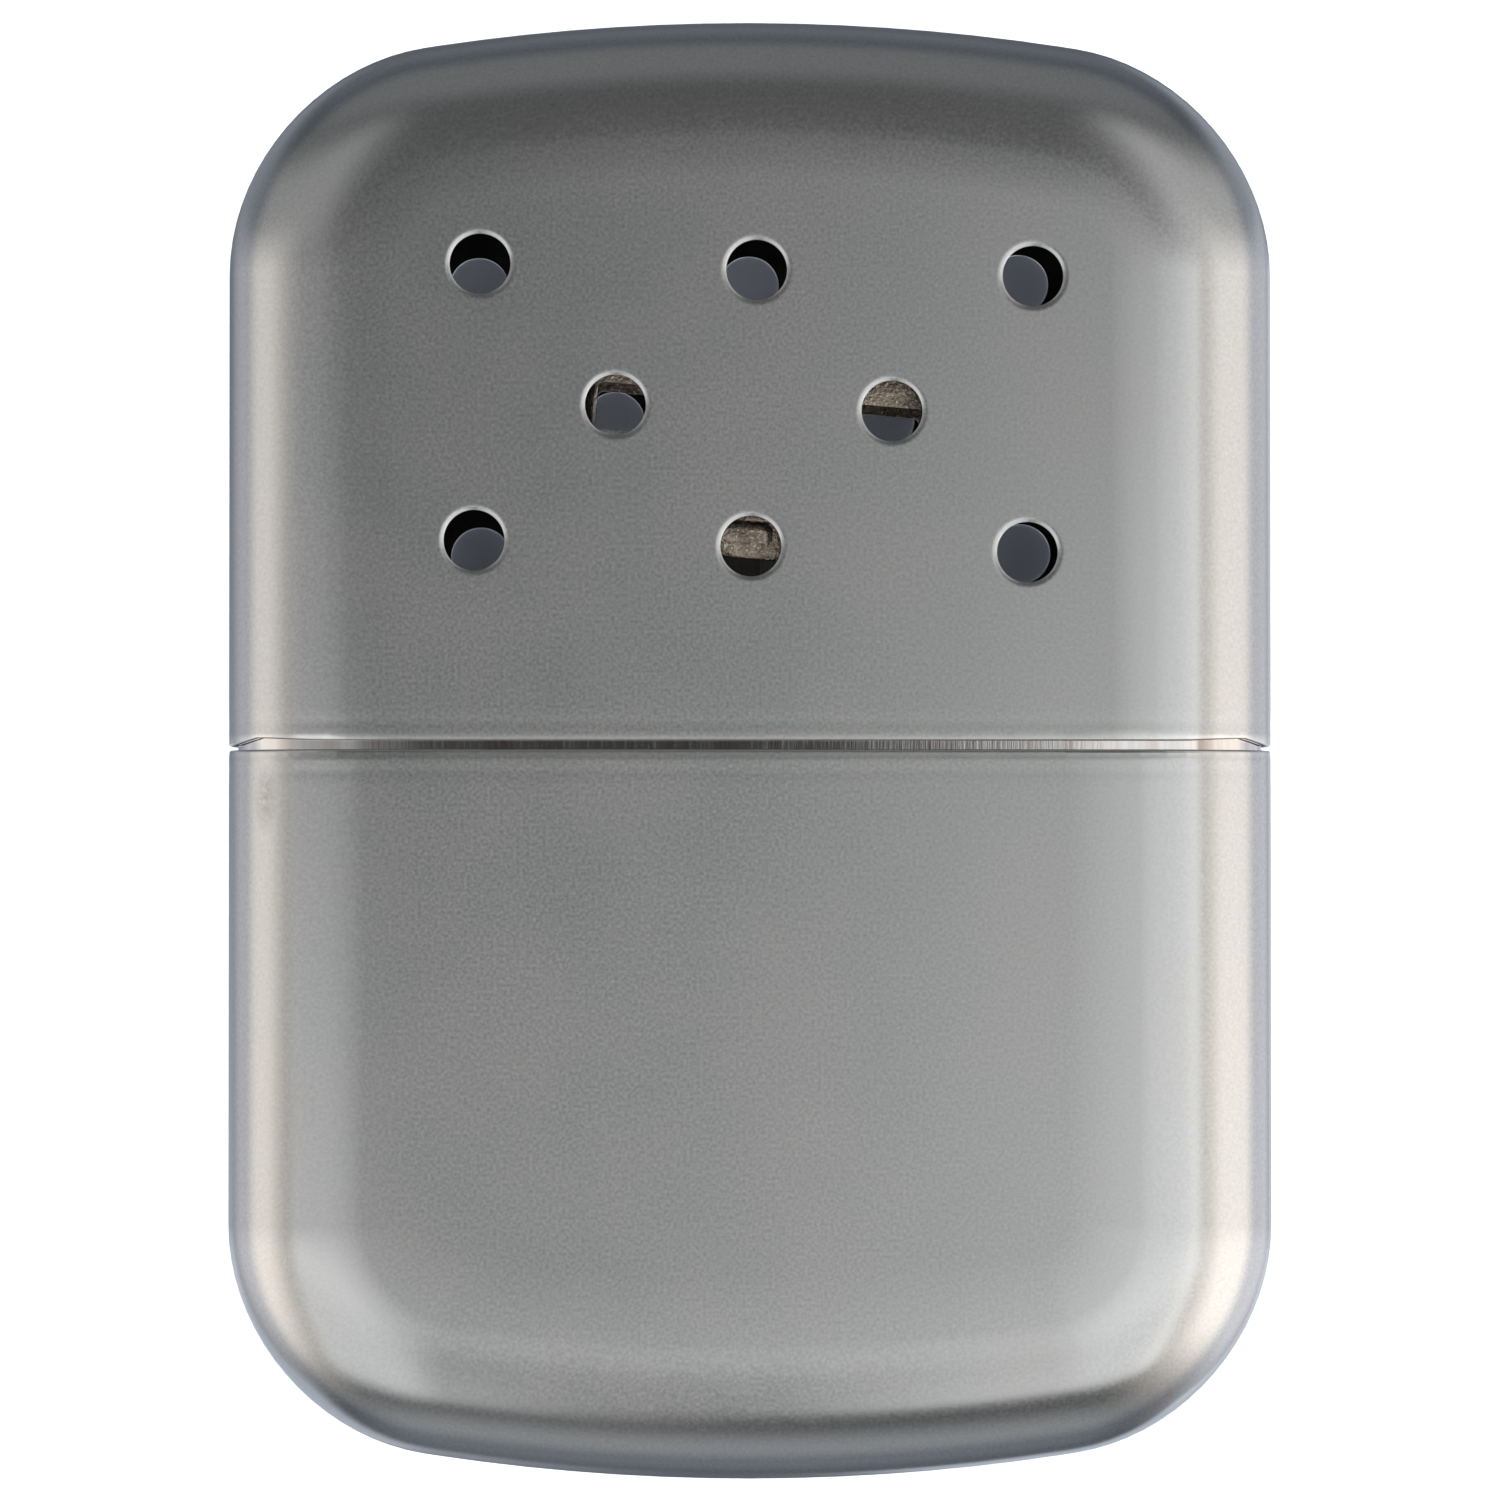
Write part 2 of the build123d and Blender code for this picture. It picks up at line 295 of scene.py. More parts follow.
def thicken(piece: bpy.types.Object, wall: float, inner_slot: int = 0) -> None:
    """Gives an open skin its wall, on the inside.

    Args:
        piece: The skin.
        wall: The wall's thickness.
        inner_slot: The inner side's material slot, counted from the outer one.
    """
    piece.data.materials.clear()
    for _ in range(inner_slot + 1):
        piece.data.materials.append(None)
    apply_modifier(
        piece,
        "SOLIDIFY",
        thickness=wall,
        offset=-1.0,
        use_even_offset=True,
        material_offset=inner_slot,
    )


def carve(piece: bpy.types.Object, cutter: bpy.types.Object, join: bool = False) -> None:
    """Cuts one closed form out of another, or joins it on, and removes the cutter.

    Args:
        piece: The form that is cut.
        cutter: What is cut out of it or joined to it.
        join: Whether it is joined instead.
    """
    apply_modifier(
        piece,
        "BOOLEAN",
        operation="UNION" if join else "DIFFERENCE",
        object=cutter,
        solver="EXACT",
    )
    bpy.data.objects.remove(cutter, do_unlink=True)


def merge(pieces: Sequence[bpy.types.Object]) -> bpy.types.Object:
    """Joins several objects into the first.

    Args:
        pieces: The objects.

    Returns:
        The first, with the others in it.
    """
    take(pieces[0])
    for piece in pieces:
        piece.select_set(True)
    if len(pieces) > 1:
        bpy.ops.object.join()
    return pieces[0]


def point_out(piece: bpy.types.Object) -> None:
    """Points an open skin's faces outwards.

    Args:
        piece: The skin.
    """
    with editing(piece):
        bpy.ops.mesh.select_all(action="SELECT")
        bpy.ops.mesh.normals_make_consistent(inside=False)


def smooth(piece: bpy.types.Object, angle: float = 32.0, weighted: bool = True) -> None:
    """Smooth shading up to an angle, with the flat faces kept flat.

    Args:
        piece: The object to shade.
        angle: Edges sharper than this, in degrees, stay sharp.
        weighted: Whether large faces set their corners' normals.
    """
    take(piece)
    bpy.ops.object.shade_smooth_by_angle(angle=math.radians(angle))
    if weighted:
        apply_modifier(piece, "WEIGHTED_NORMAL", mode="FACE_AREA", weight=50, keep_sharp=True)


def place(piece: bpy.types.Object, matrix: Matrix) -> None:
    """Puts a piece that was made at the origin in its place, in its mesh.

    Args:
        piece: The object.
        matrix: Where it goes.
    """
    take(piece)
    piece.matrix_world = matrix
    bpy.ops.object.transform_apply(location=True, rotation=True, scale=True)


# ---------------------------------------------------------------- shader tools


class NodeSheet:
    """Adds nodes to one tree and links them."""

    def __init__(self, tree: bpy.types.NodeTree) -> None:
        """Works on the given tree."""
        self.tree = tree

    def add(
        self, kind: str, inputs: dict[str | int, object] | None = None, **settings: object
    ) -> bpy.types.Node:
        """Adds one node.

        Args:
            kind: The node's type.
            inputs: Socket name or number to a value, or to an output to link from.
            settings: The node's own properties.

        Returns:
            The new node.
        """
        node = self.tree.nodes.new(kind)
        for key, value in settings.items():
            setattr(node, key, value)
        self._feed(node, inputs or {})
        return node

    def _feed(self, node: bpy.types.Node, inputs: dict[str | int, object]) -> None:
        """Sets a node's inputs, or links them where an output is given.

        Args:
            node: The node.
            inputs: Socket name or number to a value or an output.
        """
        for key, value in inputs.items():
            socket = node.inputs[key]
            if isinstance(value, bpy.types.NodeSocket):
                self.tree.links.new(value, socket)
            else:
                socket.default_value = value

    def effect(self, group: bpy.types.NodeTree, where: object, **settings: float) -> bpy.types.Node:
        """Puts a shared effect in this tree.

        Args:
            group: The effect's node group.
            where: The coordinates.
            settings: Its other inputs, with underscores for spaces.

        Returns:
            The group's node.
        """
        node = self.add("ShaderNodeGroup", node_tree=group)
        self.tree.links.new(where, node.inputs["Vector"])
        self._feed(node, {key.replace("_", " "): value for key, value in settings.items()})
        return node

    def noise(self, vector: object, scale: float, detail: float = 2.0, rough: float = 0.5) -> object:
        """A noise pattern's value output.

        Args:
            vector: The coordinates.
            scale: Its frequency.
            detail: Its octaves.
            rough: The weight of the finer octaves.

        Returns:
            The pattern's output.
        """
        node = self.add(
            "ShaderNodeTexNoise",
            {"Vector": vector, "Scale": scale, "Detail": detail, "Roughness": rough},
        )
        return node.outputs["Fac"]

    def stretched(self, vector: object, scale: Point, turn: Point = (0, 0, 0)) -> object:
        """Coordinates scaled differently along each axis.

        Args:
            vector: The coordinates.
            scale: The scale along each axis.
            turn: The turn about each axis.

        Returns:
            The new coordinates.
        """
        node = self.add(
            "ShaderNodeMapping", {"Vector": vector, "Scale": scale, "Rotation": turn}
        )
        return node.outputs["Vector"]

    def span(self, value: object, low: float, high: float, to_low: float, to_high: float) -> object:
        """A value mapped from one range to another and clamped to it.

        Args:
            value: The value.
            low: Where its range starts.
            high: Where its range ends.
            to_low: What the start becomes.
            to_high: What the end becomes.

        Returns:
            The mapped value.
        """
        node = self.add(
            "ShaderNodeMapRange",
            {"Value": value, 1: low, 2: high, 3: to_low, 4: to_high},
            clamp=True,
        )
        return node.outputs["Result"]

    def sum(self, operation: str, first: object, second: object = 0.0, third: object = 0.0) -> object:
        """The result of one Math node.

        Args:
            operation: What the node does.
            first: Its first value.
            second: Its second value.
            third: Its third value, where it has one.

        Returns:
            The node's output.
        """
        node = self.add("ShaderNodeMath", {0: first, 1: second, 2: third}, operation=operation)
        return node.outputs["Value"]

    def blend(self, factor: object, first: object, second: object, kind: str = "MIX") -> object:
        """Two colours mixed by a factor.

        Args:
            factor: How much of the second shows.
            first: The first colour.
            second: The second colour.
            kind: How they are mixed.

        Returns:
            The mixed colour.
        """
        node = self.add("ShaderNodeMix", data_type="RGBA", blend_type=kind)
        # A Mix node's colour sockets are told from its number sockets by their place alone.
        self._feed(node, {0: factor, 6: first, 7: second})
        return node.outputs[2]


class Effects:
    """The shared effects, each built once as a node group."""

    def __init__(self) -> None:
        """Builds every group."""
        self.grain = self._group(
            "satin_grain",
            {"Vector": None, "Grain Scale": 5200.0, "Mottle Scale": 120.0},
            ("Grain", "Mottle", "Height"),
            self._fill_grain,
        )
        self.scratches = self._group(
            "slide_scratches",
            {"Vector": None, "Amount": 0.5},
            ("Mask", "Tone", "Height"),
            self._fill_scratches,
        )
        self.rim_wear = self._group(
            "rim_wear",
            {"Vector": None, "Level": 0.0, "Reach": 0.002},
            ("Mask",),
            self._fill_rim_wear,
        )
        self.smudge = self._group(
            "handling_smudge",
            {"Vector": None},
            ("Mask",),
            self._fill_smudge,
        )
        # A painted highlight: a bright bar painted onto the burner's sheet.
        self.painted_highlight_bar = self._group(
            "painted_highlight_bar",
            {"Vector": None},
            ("Mask",),
            self._fill_painted_highlight_bar,
        )
        self.sparkle = self._group(
            "oxide_sparkle",
            {"Vector": None, "Scale": 4200.0, "Amount": 0.5},
            ("Flecks", "Cloud", "Height"),
            self._fill_sparkle,
        )
        self.fibres = self._group(
            "tangled_fibres",
            {"Vector": None, "Scale": 900.0},
            ("Strand", "Clump", "Height"),
            self._fill_fibres,
        )

    def _group(
        self,
        name: str,
        inputs: dict[str, float | None],
        outputs: Sequence[str],
        fill: Callable[[NodeSheet, bpy.types.Node, bpy.types.Node], None],
    ) -> bpy.types.NodeTree:
        """One node group with named sockets.

        Args:
            name: The group's name.
            inputs: Input names with their defaults; None makes a vector.
            outputs: Names of the value outputs.
            fill: Builds the nodes between the group's input and output.

        Returns:
            The group.
        """
        tree = bpy.data.node_groups.new(name, "ShaderNodeTree")
        for label, default in inputs.items():
            kind = "NodeSocketVector" if default is None else "NodeSocketFloat"
            socket = tree.interface.new_socket(label, in_out="INPUT", socket_type=kind)
            if default is not None:
                socket.default_value = default
        for label in outputs:
            tree.interface.new_socket(label, in_out="OUTPUT", socket_type="NodeSocketFloat")
        sheet = NodeSheet(tree)
        fill(sheet, sheet.add("NodeGroupInput"), sheet.add("NodeGroupOutput"))
        return tree

    @staticmethod
    def _send(sheet: NodeSheet, out: bpy.types.Node, values: dict[str, object]) -> None:
        """Links values to a group's outputs."""
        for label, value in values.items():
            sheet.tree.links.new(value, out.inputs[label])

    def _fill_grain(self, sheet: NodeSheet, given: bpy.types.Node, out: bpy.types.Node) -> None:
        """Fine satin grain over a slow mottle.

        Args:
            sheet: The group's nodes.
            given: The group's input.
            out: The group's output.
        """
        vector = given.outputs["Vector"]
        fine = sheet.add(
            "ShaderNodeTexNoise",
            {"Vector": vector, "Scale": given.outputs["Grain Scale"], "Detail": 3.0},
        ).outputs["Fac"]
        slow = sheet.add(
            "ShaderNodeTexNoise",
            {"Vector": vector, "Scale": given.outputs["Mottle Scale"], "Detail": 4.0},
        ).outputs["Fac"]
        speck = sheet.noise(vector, 9000.0, 1.0)
        height = sheet.sum("MULTIPLY_ADD", speck, 0.2, fine)
        self._send(
            sheet,
            out,
            {
                "Grain": sheet.span(fine, 0.3, 0.7, 0.0, 1.0),
                "Mottle": sheet.span(slow, 0.35, 0.65, 0.0, 1.0),
                "Height": height,
            },
        )

    def _fill_scratches(self, sheet: NodeSheet, given: bpy.types.Node, out: bpy.types.Node) -> None:
        """Fine scratches along Y, as a sliding fit leaves.

        Args:
            sheet: The group's nodes.
            given: The group's input.
            out: The group's output.
        """
        vector = given.outputs["Vector"]
        fine = sheet.noise(sheet.stretched(vector, (5200.0, 160.0, 2600.0)), 1.0, 3.0, 0.7)
        broad = sheet.noise(sheet.stretched(vector, (620.0, 40.0, 500.0)), 1.0, 3.0, 0.6)
        patches = sheet.noise(sheet.stretched(vector, (150.0, 60.0, 60.0)), 1.0, 2.0)
        lines = sheet.span(fine, 0.54, 0.66, 0.0, 1.0)
        streaks = sheet.span(broad, 0.38, 0.62, 0.0, 1.0)
        areas = sheet.span(patches, 0.4, 0.6, 0.3, 1.0)
        mask = sheet.sum("MULTIPLY", lines, given.outputs["Amount"])
        tone = sheet.sum("MULTIPLY", streaks, areas)
        self._send(sheet, out, {"Mask": mask, "Tone": tone, "Height": fine})

    def _fill_rim_wear(self, sheet: NodeSheet, given: bpy.types.Node, out: bpy.types.Node) -> None:
        """Wear in a band along Y about a level.

        Args:
            sheet: The group's nodes.
            given: The group's input.
            out: The group's output.
        """
        height = sheet.add("ShaderNodeSeparateXYZ", {0: given.outputs["Vector"]}).outputs["Y"]
        ragged = sheet.noise(given.outputs["Vector"], 420.0, 4.0, 0.6)
        away = sheet.sum("ABSOLUTE", sheet.sum("SUBTRACT", height, given.outputs["Level"]))
        near = sheet.sum("DIVIDE", away, given.outputs["Reach"])
        worn = sheet.sum("ADD", near, sheet.span(ragged, 0.3, 0.7, -0.3, 0.5))
        self._send(sheet, out, {"Mask": sheet.span(worn, 0.2, 1.0, 1.0, 0.0)})

    def _fill_smudge(self, sheet: NodeSheet, given: bpy.types.Node, out: bpy.types.Node) -> None:
        """A thumb's smudge just below the seam, on the left edge.

        Args:
            sheet: The group's nodes.
            given: The group's input.
            out: The group's output.
        """
        middle = (-32.2 * MM, -3.4 * MM, 12.5 * MM)
        reach = (0.9 * MM, 2.6 * MM, 2.0 * MM)
        scale = tuple(1 / part for part in reach)
        shift = tuple(-at / part for at, part in zip(middle, reach))
        moved = sheet.add(
            "ShaderNodeMapping",
            {"Vector": given.outputs["Vector"], "Scale": scale, "Location": shift},
        ).outputs["Vector"]
        away = sheet.add("ShaderNodeVectorMath", {0: moved}, operation="LENGTH").outputs["Value"]
        ragged = sheet.noise(given.outputs["Vector"], 2600.0, 4.0, 0.6)
        patch = sheet.span(away, 0.2, 1.1, 1.0, 0.0)
        broken = sheet.span(ragged, 0.35, 0.65, 0.3, 1.0)
        self._send(sheet, out, {"Mask": sheet.sum("MULTIPLY", patch, broken)})

    def _fill_painted_highlight_bar(self, sheet: NodeSheet, given: bpy.types.Node, out: bpy.types.Node) -> None:
        """A painted highlight bar, where each coordinate lies between -1 and 1.

        Args:
            sheet: The group's nodes.
            given: The group's input.
            out: The group's output.
        """
        away = sheet.add("ShaderNodeVectorMath", {0: given.outputs["Vector"]}, operation="ABSOLUTE")
        parts = sheet.add("ShaderNodeSeparateXYZ", {0: away.outputs["Vector"]}).outputs
        most = sheet.sum("MAXIMUM", parts["X"], sheet.sum("MAXIMUM", parts["Y"], parts["Z"]))
        self._send(sheet, out, {"Mask": sheet.span(most, 0.85, 1.1, 1.0, 0.0)})

    def _fill_sparkle(self, sheet: NodeSheet, given: bpy.types.Node, out: bpy.types.Node) -> None:
        """Bright flecks in a cloudy oxide film.

        Args:
            sheet: The group's nodes.
            given: The group's input.
            out: The group's output.
        """
        vector = given.outputs["Vector"]
        cells = sheet.add(
            "ShaderNodeTexVoronoi", {"Vector": vector, "Scale": given.outputs["Scale"]}
        )
        fleck = sheet.span(cells.outputs["Color"], 0.62, 0.95, 0.0, 1.0)
        cloud = sheet.noise(vector, 620.0, 5.0, 0.65)
        fine = sheet.noise(vector, 3600.0, 2.0, 0.6)
        mixed = sheet.sum("MULTIPLY", fleck, given.outputs["Amount"])
        self._send(
            sheet,
            out,
            {
                "Flecks": sheet.sum("MULTIPLY", mixed, sheet.span(fine, 0.42, 0.6, 0.2, 1.0)),
                "Cloud": sheet.span(cloud, 0.32, 0.68, 0.0, 1.0),
                "Height": fine,
            },
        )

    def _fill_fibres(self, sheet: NodeSheet, given: bpy.types.Node, out: bpy.types.Node) -> None:
        """Crossing fibres in soft clumps.

        Args:
            sheet: The group's nodes.
            given: The group's input.
            out: The group's output.
        """
        vector = given.outputs["Vector"]
        scaled = sheet.add(
            "ShaderNodeVectorMath", {0: vector, "Scale": given.outputs["Scale"]}, operation="SCALE"
        ).outputs["Vector"]
        along = sheet.noise(sheet.stretched(scaled, (1.0, 9.0, 5.0), (0.3, 0.2, 0.5)), 1.0, 3.0, 0.6)
        across = sheet.noise(sheet.stretched(scaled, (8.0, 1.2, 6.0), (0.1, 0.4, -0.4)), 1.0, 3.0, 0.6)
        strands = [sheet.span(fibres, 0.5, 0.68, 0.0, 1.0) for fibres in (along, across)]
        strand = sheet.sum("MAXIMUM", *strands)
        clump = sheet.span(sheet.noise(vector, 260.0, 4.0), 0.35, 0.65, 0.0, 1.0)
        height = sheet.sum("MULTIPLY_ADD", clump, 0.6, strand)
        self._send(sheet, out, {"Strand": strand, "Clump": clump, "Height": height})


def start_material(name: str) -> tuple[bpy.types.Material, NodeSheet, bpy.types.Node, object]:
    """A material with its shader and the piece's own coordinates.

    Args:
        name: The material's name.

    Returns:
        The material, its sheet, its shader and the coordinates' output.
    """
    material = bpy.data.materials.new(name)
    material.use_nodes = True
    material.node_tree.nodes.clear()
    sheet = NodeSheet(material.node_tree)
    shader = sheet.add("ShaderNodeBsdfPrincipled")
    out = sheet.add("ShaderNodeOutputMaterial")
    sheet.tree.links.new(shader.outputs["BSDF"], out.inputs["Surface"])
    coordinates = sheet.add("ShaderNodeTexCoord").outputs["Object"]
    return material, sheet, shader, coordinates


def bump(sheet: NodeSheet, shader: bpy.types.Node, height: object, strength: float, depth: float) -> None:
    """Gives the shader its relief.

    Args:
        sheet: The material's nodes.
        shader: The shader.
        height: The relief.
        strength: How much of it shows.
        depth: Its depth.
    """
    node = sheet.add(
        "ShaderNodeBump", {"Height": height, "Strength": strength, "Distance": depth}
    )
    sheet.tree.links.new(node.outputs["Normal"], shader.inputs["Normal"])


@dataclass(frozen=True)
class SatinNickel:
    """The casing's plate: fine blasted grain, a faint warm and cool mottle, rims rubbed bright."""

    name: str = "satin_nickel"
    cool: Colour = (0.657, 0.663, 0.661)
    warm: Colour = (0.667, 0.663, 0.655)
    worn: Colour = (0.800, 0.785, 0.765)
    dirt: Colour = (0.34, 0.32, 0.30)
    roughness: float = 0.20
    rough_spread: float = 0.02
    rim: float = 0.0
    rim_reach: float = 0.6 * MM

    def build(self, effects: Effects) -> bpy.types.Material:
        """The material, from the shared effects.

        Args:
            effects: The node groups.

        Returns:
            The material.
        """
        material, sheet, shader, where = start_material(self.name)
        grain = sheet.effect(effects.grain, where, Grain_Scale=4600.0, Mottle_Scale=95.0)
        wear = sheet.effect(effects.rim_wear, where, Level=self.rim, Reach=self.rim_reach)
        tone = sheet.blend(grain.outputs["Mottle"], (*self.cool, 1), (*self.warm, 1))
        speck = sheet.span(grain.outputs["Grain"], 0.0, 1.0, 0.93, 1.05)
        grained = sheet.blend(1.0, tone, speck, "MULTIPLY")
        smudge = sheet.effect(effects.smudge, where)
        dirty = sheet.blend(smudge.outputs["Mask"], grained, (*self.dirt, 1))
        colour = sheet.blend(wear.outputs["Mask"], dirty, (*self.worn, 1))
        sheet.tree.links.new(colour, shader.inputs["Base Color"])
        low, high = self.roughness - self.rough_spread, self.roughness + self.rough_spread
        rough = sheet.span(grain.outputs["Grain"], 0.0, 1.0, low, high)
        slow = sheet.sum("MULTIPLY_ADD", grain.outputs["Mottle"], 0.015, rough)
        wear_and_highlight = sheet.sum("MULTIPLY_ADD", wear.outputs["Mask"], -0.03, slow)
        sheet.tree.links.new(wear_and_highlight, shader.inputs["Roughness"])
        shader.inputs["Metallic"].default_value = 1.0
        bump(sheet, shader, grain.outputs["Height"], 0.03, 0.02 * MM)
        return material


@dataclass(frozen=True)
class PaintedShadeInside:
    """The shells' inside: unpolished sheet painted near-black, as painted shade for the dark hollow of
    the closed casing.
    """

    name: str = "painted_shade_inside"
    # Both colours are painted shade: near-black for the dark inside of the casing.
    film_and_shade: Colour = (0.018, 0.017, 0.016)
    shade_grey: Colour = (0.05, 0.048, 0.046)

    def build(self, effects: Effects) -> bpy.types.Material:
        """The material, from the shared effects.

        Args:
            effects: The node groups.

        Returns:
            The material.
        """
        material, sheet, shader, where = start_material(self.name)
        grain = sheet.effect(effects.grain, where, Grain_Scale=2400.0, Mottle_Scale=260.0)
        colour = sheet.blend(grain.outputs["Mottle"], (*self.film_and_shade, 1), (*self.shade_grey, 1))
        sheet.tree.links.new(colour, shader.inputs["Base Color"])
        rough = sheet.span(grain.outputs["Grain"], 0.0, 1.0, 0.45, 0.6)
        sheet.tree.links.new(rough, shader.inputs["Roughness"])
        shader.inputs["Metallic"].default_value = 0.85
        bump(sheet, shader, grain.outputs["Height"], 0.2, 0.05 * MM)
        return material


@dataclass(frozen=True)
class PolishedNickel:
    """The guide's bright plate, scratched lengthwise by the lid."""

    name: str = "polished_nickel"
    bright: Colour = (0.88, 0.87, 0.86)
    dull: Colour = (0.70, 0.61, 0.57)
    scratch: Colour = (0.9, 0.87, 0.85)
    roughness: float = 0.07
    roughened: float = 0.12
    scratched: float = 0.35
    relief: float = 0.07

    def build(self, effects: Effects) -> bpy.types.Material:
        """The material, from the shared effects.

        Args:
            effects: The node groups.

        Returns:
            The material.
        """
        material, sheet, shader, where = start_material(self.name)
        marks = sheet.effect(effects.scratches, where, Amount=self.scratched)
        stained = sheet.blend(marks.outputs["Tone"], (*self.bright, 1), (*self.dull, 1))
        colour = sheet.blend(marks.outputs["Mask"], stained, (*self.scratch, 1))
        sheet.tree.links.new(colour, shader.inputs["Base Color"])
        rough = sheet.span(
            marks.outputs["Mask"], 0.0, 1.0, self.roughness, self.roughness + self.roughened
        )
        sheet.tree.links.new(rough, shader.inputs["Roughness"])
        shader.inputs["Metallic"].default_value = 1.0
        bump(sheet, shader, marks.outputs["Height"], self.relief, 0.03 * MM)
        return material


@dataclass(frozen=True)
class HeatTintedSheet:
    """The burner's pressed sheet: a brown oxide film with bright flecks, straw where it stays cool."""

    name: str = "heat_tinted_sheet"
    film_and_shade: Colour = (0.13, 0.10, 0.08)
    straw: Colour = (0.50, 0.42, 0.34)
    fleck: Colour = (0.95, 0.84, 0.72)
    scratch: Colour = (0.6, 0.52, 0.44)
    # A painted highlight: the window edge's bright reflection painted as a pale bar.
    wear_and_highlight: Colour = (0.97, 0.90, 0.80)
    highlight_place: Point = (0.0, 0.0, 0.0)
    highlight_reach: Point = (0.2 * MM, 2.2 * MM, 0.4 * MM)
    highlight_lean: float = 0.0

    def build(self, effects: Effects) -> bpy.types.Material:
        """The material, from the shared effects.

        Args:
            effects: The node groups.

        Returns:
            The material.
        """
        material, sheet, shader, where = start_material(self.name)
        flecks = sheet.effect(effects.sparkle, where, Scale=8000.0, Amount=0.9)
        marks = sheet.effect(effects.scratches, where, Amount=0.35)
        tone = sheet.blend(flecks.outputs["Cloud"], (*self.film_and_shade, 1), (*self.straw, 1))
        dotted = sheet.blend(flecks.outputs["Flecks"], tone, (*self.fleck, 1))
        marked = sheet.blend(marks.outputs["Mask"], dotted, (*self.scratch, 1))
        turn = (0, 0, self.highlight_lean)
        local = sheet.add(
            "ShaderNodeMapping",
            {"Vector": where, "Location": self.highlight_place, "Rotation": turn, "Scale": self.highlight_reach},
            vector_type="TEXTURE",
        ).outputs["Vector"]
        # Painted highlight along the left window's edge.
        painted_highlight = sheet.effect(effects.painted_highlight_bar, local)
        colour = sheet.blend(painted_highlight.outputs["Mask"], marked, (*self.wear_and_highlight, 1))
        sheet.tree.links.new(colour, shader.inputs["Base Color"])
        rough = sheet.span(flecks.outputs["Cloud"], 0.0, 1.0, 0.42, 0.26)
        sheet.tree.links.new(rough, shader.inputs["Roughness"])
        shader.inputs["Metallic"].default_value = 1.0
        bump(sheet, shader, flecks.outputs["Height"], 0.9, 0.06 * MM)
        return material


@dataclass(frozen=True)
class Fibre:
    """A tangle of soft fibres: glass, felt or cotton."""

    name: str
    light: Colour
    shade: Colour
    scale: float
    relief: float

    def build(self, effects: Effects) -> bpy.types.Material:
        """The material, from the shared effects.

        Args:
            effects: The node groups.

        Returns:
            The material.
        """
        material, sheet, shader, where = start_material(self.name)
        tangle = sheet.effect(effects.fibres, where, Scale=self.scale)
        base = sheet.blend(tangle.outputs["Clump"], (*self.shade, 1), (*self.light, 1))
        pale = tuple(min(1.0, part * 1.25) for part in self.light)
        colour = sheet.blend(tangle.outputs["Strand"], base, (*pale, 1))
        sheet.tree.links.new(colour, shader.inputs["Base Color"])
        rough = sheet.span(tangle.outputs["Strand"], 0.0, 1.0, 0.95, 0.72)
        sheet.tree.links.new(rough, shader.inputs["Roughness"])
        shader.inputs["Sheen Weight"].default_value = 0.35
        shader.inputs["Sheen Roughness"].default_value = 0.5
        bump(sheet, shader, tangle.outputs["Height"], 0.8, self.relief)
        return material


# ---------------------------------------------------------------- sub-assemblies


def finish_piece(
    piece: bpy.types.Object,
    materials: Sequence[bpy.types.Material],
    body: Body,
    nodes: Sequence[str],
) -> None:
    """Dresses a finished piece and puts it in the frame.

    Args:
        piece: The object.
        materials: Its material, or the outer and the inner one.
        body: What it rides on.
        nodes: The CAD nodes that it stands for.
    """
    while len(piece.data.materials) < len(materials):
        piece.data.materials.append(None)
    for index, material in enumerate(materials):
        piece.data.materials[index] = material
    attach(piece, body.value)
    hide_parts(*nodes)
    LOG.info("%s: %d faces on %s", piece.name, len(piece.data.polygons), body.value)


